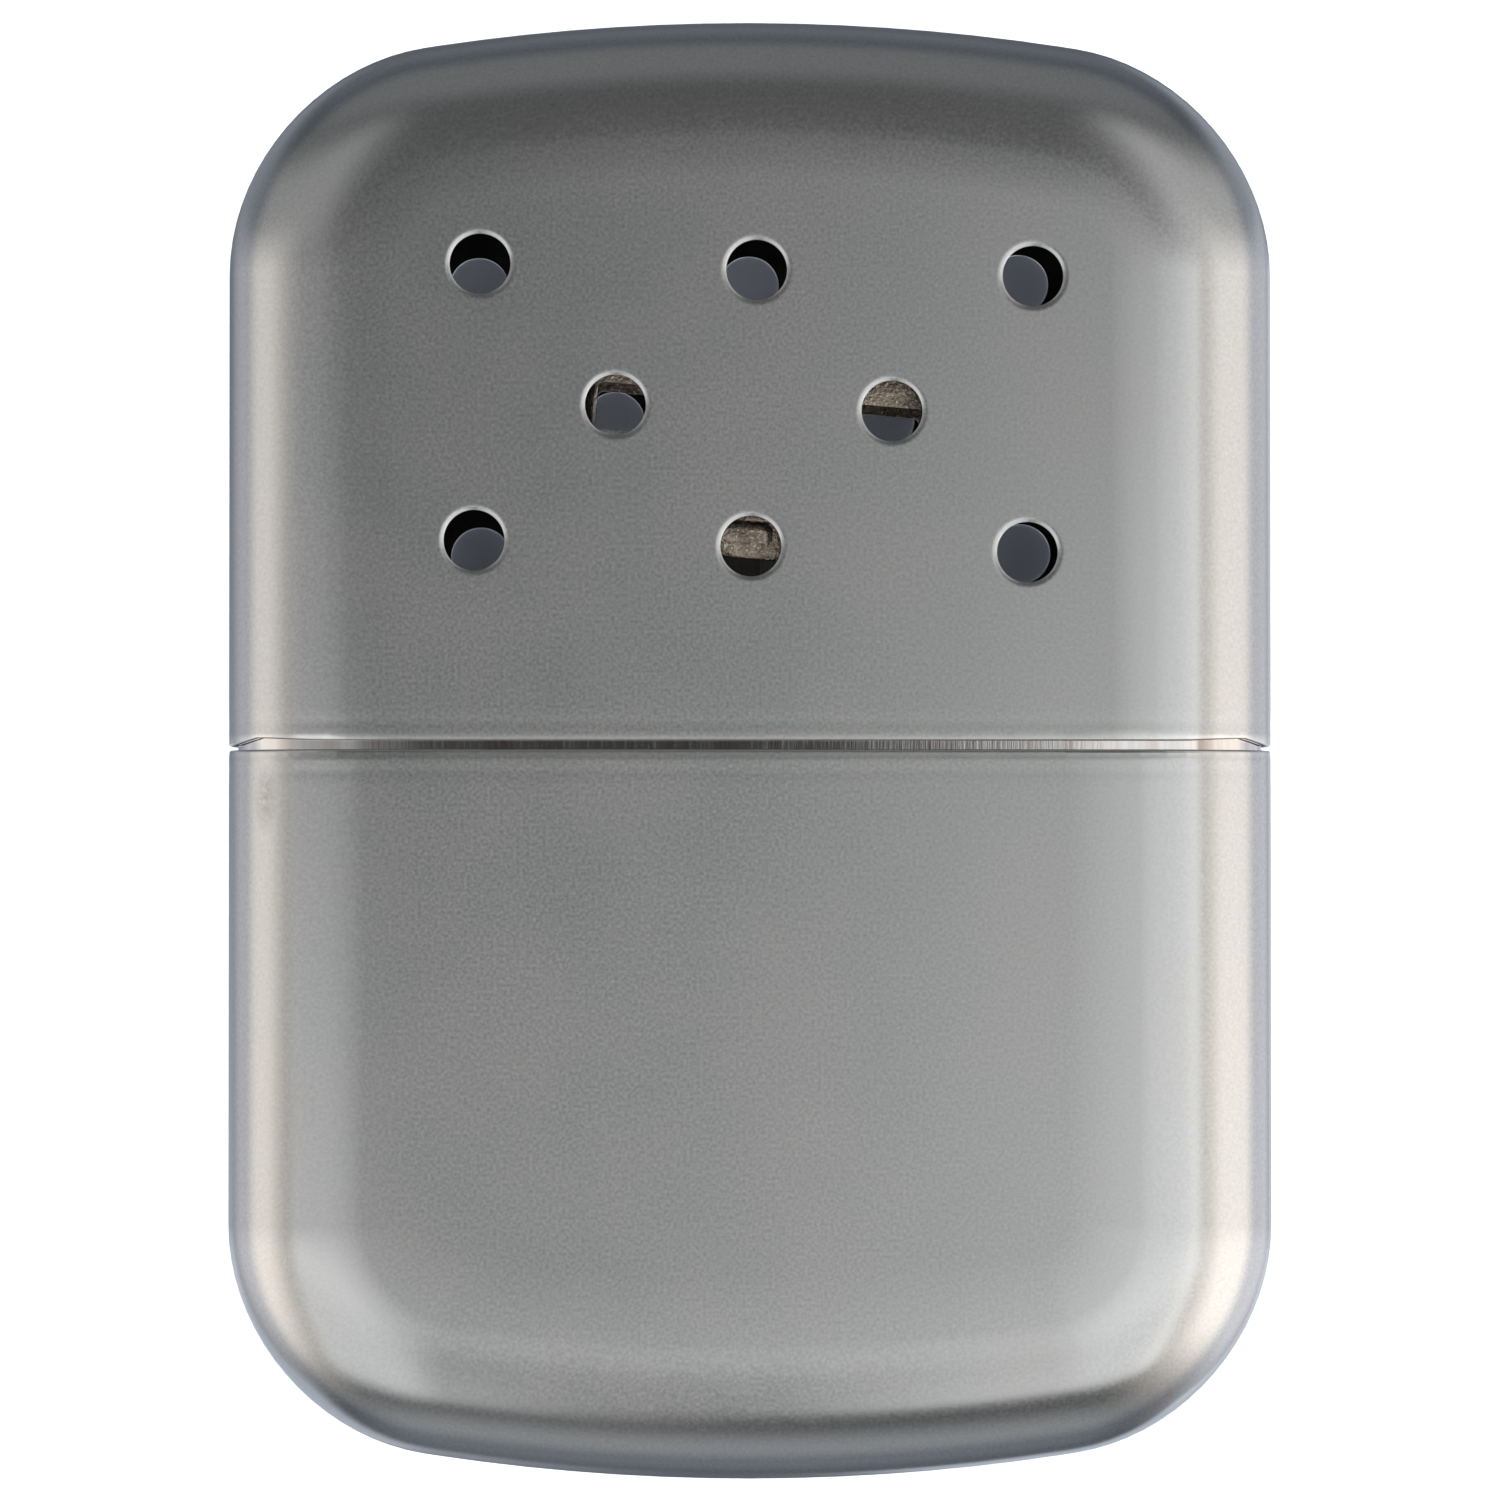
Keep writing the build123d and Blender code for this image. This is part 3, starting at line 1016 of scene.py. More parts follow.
@dataclass
class Casing:
    """The two drawn shells: crowned ends, rounded corners and edges, vents in the lid."""

    effects: Effects
    width: float = 70.0 * MM
    height: float = 97.8 * MM
    thickness: float = 15.0 * MM
    crown_radius: float = 141.0 * MM
    corner_radius: float = 15.5 * MM
    edge_radius: float = 6.5 * MM
    edge_rings: int = 16
    lid_reach: float = 11.0 * MM
    tank_reach: float = 14.0 * MM
    wall: float = 0.5 * MM
    crown_reach: float = 21.0 * MM
    crown_steps: int = 7
    tank_rim: float = -0.1 * MM
    side_gap: float = 0.3 * MM
    flare: tuple[tuple[float, float], ...] = ((34.7, 0.0), (33.9, 0.2), (32.9, 0.45), (29.0, 0.26))
    corner_segments: int = 18
    rim_round: float = 0.15 * MM
    inner_rim_round: float = 0.06 * MM
    rim_zone: float = 0.6 * MM
    outer_depth: float = 0.92
    rim_wear: tuple[float, float] = (0.35 * MM, -0.1 * MM)
    lid_ripples: tuple[tuple[float, float], ...] = (
        (0.0, 0.02), (0.75, 0.004), (1.2, 0.012), (1.7, 0.014), (2.5, 0.0)
    )
    tank_ripples: tuple[tuple[float, float], ...] = (
        (0.0, 0.028), (0.42, 0.016), (0.8, 0.002), (1.25, 0.012), (1.7, 0.008), (2.4, 0.0)
    )
    vent_diameter: float = 4.05 * MM
    vent_rim: float = 0.05 * MM
    vent_rim_width: float = 0.45 * MM
    vent_rim_rings: int = 8
    vent_pitch: tuple[float, float] = (18.4 * MM, 9.2 * MM)
    vent_rows: tuple[int, ...] = (3, 2, 3)
    vent_centre: tuple[float, float] = (0.12 * MM, 22.6 * MM)
    skews: tuple[float, float] = (-1.2, 0.4)
    vent_sides: int = 72
    punch_length: float = 3.0 * MM

    def __post_init__(self) -> None:
        """Mixes the painted-shade finish that both shells have inside."""
        self.inside = PaintedShadeInside().build(self.effects)

    def crown(self, x: float) -> float:
        """How far the outline reaches along Y at this X."""
        drop = self.crown_radius - self.height / 2
        return math.sqrt(self.crown_radius**2 - x**2) - drop

    def _corner(self) -> tuple[float, float]:
        """The unrounded corner's Y, and the rounding's reach along the side.

        Returns:
            Both, in that order.
        """
        centre_x = self.width / 2 - self.corner_radius
        reach = self.crown_radius - self.corner_radius
        centre_y = math.sqrt(reach**2 - centre_x**2) - (self.crown_radius - self.height / 2)
        lean = math.asin(centre_x / reach)
        tangent = self.corner_radius * math.tan((math.pi / 2 - lean) / 2)
        return centre_y + tangent, tangent

    def section(self, reach: float) -> list[tuple[float, float]]:
        """The edge's section, from the side wall to the flat face.

        Args:
            reach: How far in from the outline the face begins to fall.

        Returns:
            Each ring's inset and its rise above the side wall.
        """
        power = 2 * reach / self.edge_radius
        rings = []
        for ring in range(1, self.edge_rings + 1):
            angle = math.pi / 2 * ring / self.edge_rings
            inset = reach * (1 - max(0.0, math.cos(angle)) ** (2 / power))
            rings.append((inset, self.edge_radius * math.sin(angle)))
        return rings

    def block(self, name: str, reach: float) -> bpy.types.Object:
        """The casing's closed outer form.

        Args:
            name: The piece's name.
            reach: How far in from the outline the faces begin to fall.

        Returns:
            The block, a slab with the side wall's height whose faces are inset ring by ring.
        """
        corner_y, tangent = self._corner()
        half = self.width / 2
        wall = self.thickness - 2 * self.edge_radius
        block = new_block(name, (self.width, 2 * corner_y, wall), (0, 0, self.thickness / 2))
        with editing(block):
            self._crown_ends(block, corner_y)
            pick_edges(
                block,
                lambda a, b: abs(a.x - b.x) < TINY and abs(a.z - b.z) < TINY and abs(a.x) < half - TINY,
            )
            bpy.ops.mesh.dissolve_edges(use_verts=False)
            pick_edges(
                block,
                lambda a, b: abs(a.z - b.z) > TINY
                and min(abs(a.x), abs(b.x)) > half - TINY
                and min(abs(a.y), abs(b.y)) > corner_y - TINY,
            )
            round_edges(tangent, self.corner_segments)
            pick_faces(block, lambda c, n: abs(n.z) > 0.9)
            last = (0.0, 0.0)
            for inset, rise in self.section(reach):
                bpy.ops.mesh.inset(
                    thickness=inset - last[0], depth=rise - last[1], use_even_offset=True
                )
                last = (inset, rise)
        return block

    def _crown_ends(self, block: bpy.types.Object, corner_y: float) -> None:
        """Gives the block's two ends their crown.

        Args:
            block: The block in edit mode.
            corner_y: Where its ends are along Y.
        """
        columns = [self.crown_reach * k / self.crown_steps for k in range(self.crown_steps + 1)]
        for x in columns:
            for side in {x, -x}:
                cut((side, 0, 0), (1, 0, 0))
        for x in columns:
            rise = self.crown(x) - corner_y
            for end in (1, -1):
                pick_verts(
                    block, lambda p, x=x, end=end: abs(abs(p.x) - x) < TINY and p.y * end > 0
                )
                bpy.ops.transform.translate(value=(0, end * rise, 0))

    def _open(self, shell: bpy.types.Object, half: Half, rim: float) -> None:
        """Cuts the block at its rim and keeps one half, open at the rim.

        Args:
            shell: The shell.
            half: The lid or the tank.
            rim: The rim's place along Y.
        """
        with editing(shell):
            cut((0, rim, 0), (0, 1, 0), drop_inner=half is Half.LID, drop_outer=half is Half.TANK)

    def _shape_rim(self, shell: bpy.types.Object, half: Half, rim: float) -> None:
        """Flares the lid's rim near its ends and turns both rims slightly inwards.

        Args:
            shell: The shell.
            half: The lid or the tank.
            rim: The rim's place along Y.
        """
        middle = (0, rim, self.thickness / 2)
        with editing(shell):
            if half is Half.LID:
                mesh = bmesh.from_edit_mesh(shell.data)
                places = sorted({round(abs(v.co.x), 6) for v in mesh.verts if abs(v.co.y - rim) < TINY})
                for x in places:
                    pick_verts(
                        shell,
                        lambda p, x=x: abs(p.y - rim) < TINY * 2 and abs(abs(p.x) - x) < TINY,
                    )
                    bpy.ops.transform.translate(value=(0, self._flare_at(x), 0))
            ripples = self.lid_ripples if half is Half.LID else self.tank_ripples
            for away, _ in ripples[1:]:
                cut((0, rim + half.value * away * MM, 0), (0, 1, 0))
            reaches = [(near + far) / 2 for (near, _), (far, _) in zip(ripples, ripples[1:])]
            starts = [-1.0, *reaches]
            for (_, turn), start, end in zip(ripples, starts, [*reaches, reaches[-1] + 1]):
                low, high = start * MM, end * MM
                pick_verts(
                    shell, lambda p, low=low, high=high: low < (p.y - rim) * half.value < high
                )
                bpy.ops.transform.resize(
                    value=(1 - turn * MM / (self.width / 2), 1, 1 - turn * MM / (self.thickness / 2)),
                    center_override=middle,
                )

    def _flare_at(self, x: float) -> float:
        """How far the lid's rim is cut back at this X, beyond its sides.

        Args:
            x: The place along X.

        Returns:
            The cut along Y.
        """
        along = abs(x) / MM
        stops = self.flare
        if along >= stops[0][0]:
            return 0.0
        for (x_high, y_high), (x_low, y_low) in zip(stops, stops[1:]):
            if along >= x_low:
                part = (x_high - along) / (x_high - x_low)
                return (y_high + part * (y_low - y_high)) * MM
        return stops[-1][1] * MM

    def vent_places(self, skew: float) -> list[tuple[float, float]]:
        """The vents' centres on one face.

        Args:
            skew: The pattern's turn in degrees.

        Returns:
            Each vent's X and Y.
        """
        turn = math.radians(skew)
        places = []
        for row, count in enumerate(self.vent_rows):
            v = ((len(self.vent_rows) - 1) / 2 - row) * self.vent_pitch[1]
            for column in range(count):
                u = (column - (count - 1) / 2) * self.vent_pitch[0]
                x = self.vent_centre[0] + u * math.cos(turn) - v * math.sin(turn)
                y = self.vent_centre[1] + u * math.sin(turn) + v * math.cos(turn)
                places.append((x, y))
        return places

    def _punch_tool(self, level: float, out: int) -> bpy.types.Object:
        """The punch for one face, flared like the rim that it presses.

        Args:
            level: The face's height.
            out: 1 for the front face, -1 for the back one.

        Returns:
            The tool, standing over the origin.
        """
        radius = self.vent_diameter / 2
        root = level - out * (self.vent_rim + self.punch_length / 2)
        tool = new_rod("punch", radius, self.punch_length, (0, 0, root), self.vent_sides)
        with editing(tool):
            pick_faces(tool, lambda c, n: n.z * out > 0.9)
            last_rise, last_radius = 0.0, radius
            for ring in range(1, self.vent_rim_rings + 1):
                part = ring / self.vent_rim_rings
                rise = self.vent_rim * (1 - (1 - part) ** 3)
                wide = radius + self.vent_rim_width * part
                self._pull(out * (rise - last_rise))
                bpy.ops.transform.resize(
                    value=(wide / last_radius, wide / last_radius, 1), center_override=(0, 0, level)
                )
                last_rise, last_radius = rise, wide
            self._pull(out * MM)
        return tool

    @staticmethod
    def _pull(rise: float) -> None:
        """Extrudes the selected face along Z."""
        bpy.ops.mesh.extrude_region_move(TRANSFORM_OT_translate={"value": (0, 0, rise)})

    def _punch(self, shell: bpy.types.Object) -> None:
        """Punches the vents through both faces, with their rims pressed inwards.

        Args:
            shell: The shell.
        """
        tools = []
        for level, out, skew in ((self.thickness, 1, self.skews[0]), (0.0, -1, self.skews[1])):
            tool = self._punch_tool(level, out)
            for x, y in self.vent_places(skew):
                copied = tool.copy()
                copied.data = tool.data.copy()
                bpy.context.scene.collection.objects.link(copied)
                copied.location = (x, y, 0)
                tools.append(copied)
            bpy.data.objects.remove(tool, do_unlink=True)
        punches = merge(tools)
        bpy.ops.object.transform_apply(location=True, rotation=True, scale=True)
        carve(shell, punches)

    def _round_rim(self, shell: bpy.types.Object, half: Half, rim: float) -> None:
        """Rounds the rim's outer and inner corners.

        Args:
            shell: The shell.
            half: The lid or the tank.
            rim: The rim's place along Y.
        """
        reach = rim + half.value * self.rim_zone

        def at_rim(p: Vector) -> bool:
            """Whether a vertex lies on the rim."""
            return (p.y - reach) * half.value < 0

        span = self.lid_reach if half is Half.LID else self.tank_reach

        with editing(shell):
            for is_outer, size, steps in ((True, self.rim_round, 5), (False, self.inner_rim_round, 2)):
                pick_edges(
                    shell,
                    lambda a, b, wanted=is_outer: all(
                        at_rim(p) and (self._depth(p, span) > self.outer_depth) is wanted
                        for p in (a, b)
                    ),
                )
                round_edges(size, steps)

    def _depth(self, p: Vector, reach: float) -> float:
        """How far out a point near the rim lies: 1 on the outer section, less inside it.

        Args:
            p: The point.
            reach: How far in from the outline the face begins to fall.

        Returns:
            The share.
        """
        side = max(0.0, 1 - (self.width / 2 - abs(p.x)) / reach)
        wall = self.thickness / 2 - self.edge_radius
        face = max(0.0, abs(p.z - self.thickness / 2) - wall) / self.edge_radius
        return side ** (2 * reach / self.edge_radius) + face**2

    def shell(self, half: Half) -> bpy.types.Object:
        """One finished shell, with its finish.

        Args:
            half: The lid or the tank.

        Returns:
            The piece.
        """
        is_lid = half is Half.LID
        rim = self.tank_rim + (self.side_gap if is_lid else 0.0)
        shell = self.block(
            "lid_casing" if is_lid else "tank_casing", self.lid_reach if is_lid else self.tank_reach
        )
        self._open(shell, half, rim)
        self._shape_rim(shell, half, rim)
        thicken(shell, self.wall, 1)
        if is_lid:
            self._punch(shell)
        self._round_rim(shell, half, rim)
        smooth(shell)
        worn = rim + self.rim_wear[0 if is_lid else 1]
        finish = SatinNickel(name=f"satin_nickel_{half.name.lower()}", rim=worn)
        finish_piece(
            shell,
            # The inner slot gets the painted shade.
            [finish.build(self.effects), self.inside],
            Body.LID if is_lid else Body.TANK,
            ["lid_shell" if is_lid else "tank_shell"],
        )
        return shell


@dataclass
class GuideCap:
    """The cap that closes the tank and guides the lid, with the filler neck crimped in it."""

    effects: Effects
    casing: Casing
    inset: float = 0.62 * MM
    low: float = -5.1 * MM
    top: float = 9.0 * MM
    edge: float = 1.0 * MM
    sheet: float = 0.4 * MM
    neck_width: float = 26.24 * MM
    neck_depth: float = 9.5 * MM
    neck_corner: float = 3.25 * MM
    neck_top: float = 15.35 * MM
    neck_fit: float = 0.03 * MM
    neck_foot: float = 0.8 * MM
    mouth_reach: float = 2.0 * MM
    neck_segments: int = 8
    bead: float = 0.42 * MM
    flange: float = 0.6 * MM
    lip_round: float = 0.17 * MM

    def cap(self) -> bpy.types.Object:
        """The drawn cap with the neck's mouth cut in it.

        Returns:
            The cap.
        """
        cap = self.casing.block("guide_cap", self.casing.tank_reach)
        with editing(cap):
            cut((0, self.low, 0), (0, 1, 0), drop_inner=True)
            cut((0, self.top, 0), (0, 1, 0), drop_outer=True)
            bpy.ops.mesh.select_all(action="SELECT")
            bpy.ops.transform.shrink_fatten(value=-self.inset, use_even_offset=True)
            pick_edges(cap, lambda a, b: min(a.y, b.y) > self.top - TINY)
            bpy.ops.mesh.edge_face_add()
            pick_edges(cap, lambda a, b: min(a.y, b.y) > self.top - TINY)
            round_edges(self.edge, 6)
        point_out(cap)
        thicken(cap, self.sheet)
        mouth = rounded_tube(
            "mouth",
            self.neck_width + 2 * self.neck_fit,
            self.neck_depth + 2 * self.neck_fit,
            self.top - self.mouth_reach,
            self.top + self.mouth_reach,
            self.neck_corner + self.neck_fit,
            self.neck_segments,
        )
        place(mouth, self.lift)
        carve(cap, mouth)
        smooth(cap)
        return cap

    def neck(self) -> bpy.types.Object:
        """The oval neck: flange below the cap, locking bead above it, rounded lip.

        Returns:
            The neck.
        """
        base = self.top - self.neck_foot
        neck = rounded_tube(
            "neck_tube",
            self.neck_width,
            self.neck_depth,
            base,
            self.neck_top,
            self.neck_corner,
            self.neck_segments,
        )
        levels = (0.0, 0.12, 0.35, 0.58, 0.7)
        swell = (0.0, 0.75, 1.0, 0.75, 0.0)
        with editing(neck):
            pick_faces(neck, lambda c, n: abs(n.y) > 0.9)
            bpy.ops.mesh.delete(type="FACE")
            for level in levels:
                cut((0, self.top + level * MM, 0), (0, 1, 0))
            for level, part in zip(levels, swell):
                if part:
                    wanted = self.top + level * MM
                    pick_verts(neck, lambda p, wanted=wanted: abs(p.y - wanted) < TINY * 2)
                    bpy.ops.transform.shrink_fatten(value=-self.bead * part, use_even_offset=True)
            pick_edges(neck, lambda a, b: max(a.y, b.y) < base + TINY)
            bpy.ops.mesh.extrude_region_move(TRANSFORM_OT_translate={"value": (0, 0, 0)})
            bpy.ops.transform.shrink_fatten(value=-self.flange, use_even_offset=True)
        point_out(neck)
        thicken(neck, self.sheet)
        with editing(neck):
            pick_edges(neck, lambda a, b: min(a.y, b.y) > self.neck_top - TINY)
            round_edges(self.lip_round, 4)
        smooth(neck)
        return neck

    @property
    def lift(self) -> Matrix:
        """From the floor to the middle of the casing's thickness."""
        return Matrix.Translation((0, 0, self.casing.thickness / 2))

    def make(self) -> None:
        """Builds and dresses the cap and the neck."""
        plate = PolishedNickel().build(self.effects)
        # The neck's finish is painted shade: nickel painted dark to stand for the shadow under the
        # burner's skirt.
        neck_shade_finish = PolishedNickel(
            name="painted_shade_nickel",
            bright=(0.30, 0.28, 0.26),
            dull=(0.16, 0.13, 0.11),
            roughness=0.05,
            scratched=0.1,
            relief=0.05,
        ).build(self.effects)
        neck = self.neck()
        place(neck, self.lift)
        for piece, node, finish in ((self.cap(), "tank_cap", plate), (neck, "filler_neck", neck_shade_finish)):
            finish_piece(piece, [finish], Body.TANK, [node])


@dataclass
class Burner:
    """The pressed burner cage that leans on the neck, with its tray and catalyst mat."""

    effects: Effects
    guide: GuideCap
    shift: float = -0.25 * MM
    skirt_y: float = 12.7046 * MM
    lean: float = -5.0
    width: float = 28.0 * MM
    depth: float = 10.5 * MM
    height: float = 14.4 * MM
    corner: float = 3.6 * MM
    sheet: float = 0.35 * MM
    skirt_levels: tuple[float, float] = (0.3 * MM, 0.6 * MM)
    skirt_flare: float = 0.1 * MM
    roof_edge: float = 0.9 * MM
    window: tuple[float, float] = (21.9 * MM, 4.5 * MM)
    window_top: float = 10.9 * MM
    window_corner: float = 0.35 * MM
    window_press: float = 0.2 * MM
    roof_slots: int = 3
    roof_slot: tuple[float, float] = (6.6 * MM, 6.4 * MM)
    roof_slot_corner: float = 0.6 * MM
    slot_reach: float = 4.0 * MM
    roof_bar: float = 1.5 * MM
    grip: tuple[float, float] = (7.0 * MM, 2.0 * MM)
    grip_place: tuple[float, float] = (-1.81 * MM, 1.6 * MM)

    def seat(self) -> Matrix:
        """Where the upright burner goes: leaning to the right on its neck.

        Returns:
            The move from the origin.
        """
        turn = Euler((0, 0, math.radians(self.lean))).to_matrix().to_4x4()
        return self.guide.lift @ Matrix.Translation((self.shift, self.skirt_y, 0)) @ turn

    def _bead(self, side: int) -> bpy.types.Object:
        """A pressed bead on one side of the skirt, domed from a buried foot.

        Args:
            side: 1 for the front, -1 for the back.

        Returns:
            The bead.
        """
        length, height = self.grip
        x, y = self.grip_place
        thick, foot = 0.2 * MM, 0.03 * MM
        z = side * (self.depth / 2 - thick / 2 - foot)
        bead = new_block("bead", (length, height, thick), (side * x, y, z))
        with editing(bead):
            pick_edges(bead, lambda a, b: abs(a.z - b.z) > TINY)
            round_edges(0.42 * height, 8)
            pick_faces(bead, lambda c, n: n.z * side > 0.9)
            for inset, rise in ((0.25, 0.1), (0.22, 0.07), (0.2, 0.04), (0.12, 0.012)):
                bpy.ops.mesh.inset(thickness=inset * MM, depth=rise * MM, use_even_offset=True)
        return bead

    def cage(self) -> bpy.types.Object:
        """The cage: rounded box open below, with windows and roof slots.

        Returns:
            The cage.
        """
        cage = rounded_tube("burner_case", self.width, self.depth, 0, self.height, self.corner, 10)
        with editing(cage):
            pick_edges(cage, lambda a, b: min(a.y, b.y) > self.height - TINY)
            round_edges(self.roof_edge, 5)
            pick_faces(cage, lambda c, n: n.y < -0.9)
            bpy.ops.mesh.delete(type="FACE")
            for level in self.skirt_levels:
                cut((0, level, 0), (0, 1, 0))
            pick_verts(cage, lambda p: p.y < TINY)
            bpy.ops.transform.shrink_fatten(value=-self.skirt_flare, use_even_offset=True)
        point_out(cage)
        thicken(cage, self.sheet)
        wide, tall = self.window
        middle = self.window_top - tall / 2
        cutters = [self._window_cutter(wide, tall, middle)]
        pitch = self.roof_slot[0] + self.roof_bar
        for index in range(self.roof_slots):
            x = (index - (self.roof_slots - 1) / 2) * pitch
            cutters.append(self._slot_cutter(x))
        for cutter in cutters:
            carve(cage, cutter)
        self._press_windows(cage, wide, tall, middle)
        for side in (1, -1):
            carve(cage, self._bead(side), join=True)
        smooth(cage, 34.0)
        return cage

    def _press_windows(self, cage: bpy.types.Object, wide: float, tall: float, middle: float) -> None:
        """Rounds the windows' edges on both faces.

        Args:
            cage: The cage.
            wide: The windows' width.
            tall: Their height.
            middle: Their middle above the skirt.
        """
        with editing(cage):
            for side in (1, -1):
                face = side * self.depth / 2
                pick_edges(
                    cage,
                    lambda a, b: all(
                        abs(p.z - face) < TINY
                        and abs(p.x) < wide / 2 + TINY
                        and abs(p.y - middle) < tall / 2 + TINY
                        for p in (a, b)
                    ),
                )
                round_edges(self.window_press, 4)

    def _window_cutter(self, wide: float, tall: float, middle: float) -> bpy.types.Object:
        """What leaves the two windows, right through the cage.

        Args:
            wide: The windows' width.
            tall: Their height.
            middle: Their middle above the skirt.

        Returns:
            The cutter.
        """
        cutter = new_block("window", (wide, tall, 2 * self.depth), (0, middle, 0))
        with editing(cutter):
            pick_edges(cutter, lambda a, b: abs(a.z - b.z) > TINY)
            round_edges(self.window_corner, 4)
        return cutter

    def _slot_cutter(self, x: float) -> bpy.types.Object:
        """What leaves one roof slot.

        Args:
            x: Where the slot lies.

        Returns:
            The cutter.
        """
        wide, deep = self.roof_slot
        cutter = new_block("slot", (wide, self.slot_reach, deep), (x, self.height, 0))
        with editing(cutter):
            pick_edges(cutter, lambda a, b: abs(a.y - b.y) > TINY)
            round_edges(self.roof_slot_corner, 4)
        return cutter

    def make(self, nodes: dict[str, bpy.types.Object]) -> None:
        """Builds and dresses the cage, and dresses the tray that the frame brings.

        Args:
            nodes: The frame's pieces by name.
        """
        # The painted highlight lies along the left window's edge.
        edge = Vector((-self.window[0] / 2, self.window_top - self.window[1] / 2, self.depth / 2))
        finish = HeatTintedSheet(
            highlight_place=tuple(self.seat() @ edge), highlight_lean=math.radians(self.lean)
        ).build(self.effects)
        cage = self.cage()
        place(cage, self.seat())
        finish_piece(cage, [finish], Body.BURNER, ["burner_cage"])
        tray = nodes["burner_tray"]
        tray.data.materials.clear()
        tray.data.materials.append(finish)
        LOG.info("burner_tray: frame piece with the sheet's finish")


@dataclass
class Filling:
    """The soft pieces: catalyst mat on the tray, felt under the mouth, wadding in the tank."""

    effects: Effects
    casing: Casing
    seat: Matrix
    mat_low: float = 4.4 * MM
    mat_size: Point = (26.1 * MM, 3.6 * MM, 8.7 * MM)
    felt_size: Point = (29.24 * MM, 3.0 * MM, 12.3 * MM)
    felt_top: float = 7.9 * MM
    edge_pull: float = 0.06
    wad_share: float = 0.995

    def pad(
        self, name: str, size: Point, upright: int, corner: float, steps: int, lump: float, grain: float
    ) -> bpy.types.Object:
        """A crowned pad about the origin, with its sides drawn in and its surface lumpy.

        Args:
            name: The piece's name.
            size: Its sizes along X, Y and Z.
            upright: The axis along which its upright edges run, 1 for Y and 2 for Z.
            corner: The radius of its upright edges.
            steps: How often its faces are divided.
            lump: How far the surface wanders.
            grain: The lumps' spacing as a noise frequency.

        Returns:
            The pad.
        """
        pad = new_block(name, size, (0, 0, 0))
        with editing(pad):
            pick_edges(pad, lambda a, b: abs(a[upright] - b[upright]) > TINY)
            round_edges(corner, 6)
            pick_edges(pad, lambda a, b: abs(a[upright] - b[upright]) < TINY)
            round_edges(min(size) * 0.3, 4)
        apply_modifier(pad, "REMESH", mode="VOXEL", voxel_size=max(size) / steps)
        half = Vector(size) / 2
        for vert in pad.data.vertices:
            at = vert.co
            across = min(1.0, abs(at.x) / half.x)
            along = min(1.0, abs(at.z) / half.z)
            crown = (1 - across**4) * (1 - along**2)
            wander = noise.noise(at * grain) + 0.5 * noise.noise(at * grain * 2.7)
            pull = 1 - self.edge_pull * (1 - crown)
            vert.co = Vector((at.x, at.y * pull, at.z)) - vert.normal * lump * abs(wander)
        apply_modifier(pad, "SMOOTH", factor=0.5, iterations=2)
        smooth(pad, 80.0, weighted=False)
        return pad

    def fit(
        self,
        pad: bpy.types.Object,
        where: Matrix,
        fibre: Fibre,
        body: Body,
        node: str,
    ) -> None:
        """Places and dresses one soft piece.

        Args:
            pad: The piece.
            where: Its place.
            fibre: Its finish.
            body: What it rides on.
            node: The CAD node that it stands for.
        """
        place(pad, where)
        finish_piece(pad, [fibre.build(self.effects)], body, [node])

    def make(self) -> None:
        mat = self.pad(
            "glass_fibre_mat",
            self.mat_size,
            upright=1,
            corner=2.6 * MM,
            steps=70,
            lump=0.22 * MM,
            grain=700.0,
        )
        glass = Fibre("glass_fibre", (0.34, 0.33, 0.32), (0.10, 0.095, 0.09), 900.0, 0.3 * MM)
        lift = Matrix.Translation((0, self.mat_low + self.mat_size[1] / 2, 0))
        self.fit(mat, self.seat @ lift, glass, Body.BURNER, "catalyst_mat")

        felt = self.pad(
            "felt_plug",
            self.felt_size,
            upright=1,
            corner=3.0 * MM,
            steps=80,
            lump=0.12 * MM,
            grain=900.0,
        )
        wool = Fibre("pressed_felt", (0.84, 0.82, 0.76), (0.62, 0.59, 0.52), 1500.0, 0.15 * MM)
        middle = self.felt_top - self.felt_size[1] / 2
        below = Matrix.Translation((0, middle, self.casing.thickness / 2))
        self.fit(felt, below, wool, Body.TANK, "felt_pad")

        low, high = (Vector(corner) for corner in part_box("cotton_fill"))
        wad = self.pad(
            "cotton_wadding",
            tuple((high - low) * self.wad_share),
            upright=2,
            corner=12.0 * MM,
            steps=64,
            lump=0.5 * MM,
            grain=260.0,
        )
        cotton = Fibre("cotton_wool", (0.93, 0.92, 0.89), (0.74, 0.72, 0.68), 520.0, 0.5 * MM)
        within = Matrix.Translation((low + high) / 2)
        self.fit(wad, within, cotton, Body.TANK, "cotton_fill")


# ---------------------------------------------------------------- studio


NEUTRAL: Colour = (0.985, 1.0, 1.0)
WARM: Colour = (1.07, 1.0, 0.93)
COOL: Colour = (0.95, 1.0, 1.06)


@dataclass(frozen=True)
class SoftBox:
    """A soft light area of the room, placed by the direction in which the object sees it.

    A negative level makes a dark area, such as the camera's hood.
    """

    name: str
    across: tuple[float, float]
    along: tuple[float, float]
    level: float
    edge: float
    tint: Colour = NEUTRAL

    def shape(self, sheet: NodeSheet, x: object, y: object) -> object:
        """Where the box shines, from 0 outside to 1 inside.

        Args:
            sheet: The world's nodes.
            x: The direction's X.
            y: The direction's Y.

        Returns:
            The mask's output.
        """
        mask: object = 1.0
        for part, (low, high) in ((x, self.across), (y, self.along)):
            rise = sheet.span(part, low - self.edge, low + self.edge, 0.0, 1.0)
            fall = sheet.span(part, high - self.edge, high + self.edge, 1.0, 0.0)
            mask = sheet.sum("MULTIPLY", mask, sheet.sum("MULTIPLY", rise, fall))
        return mask


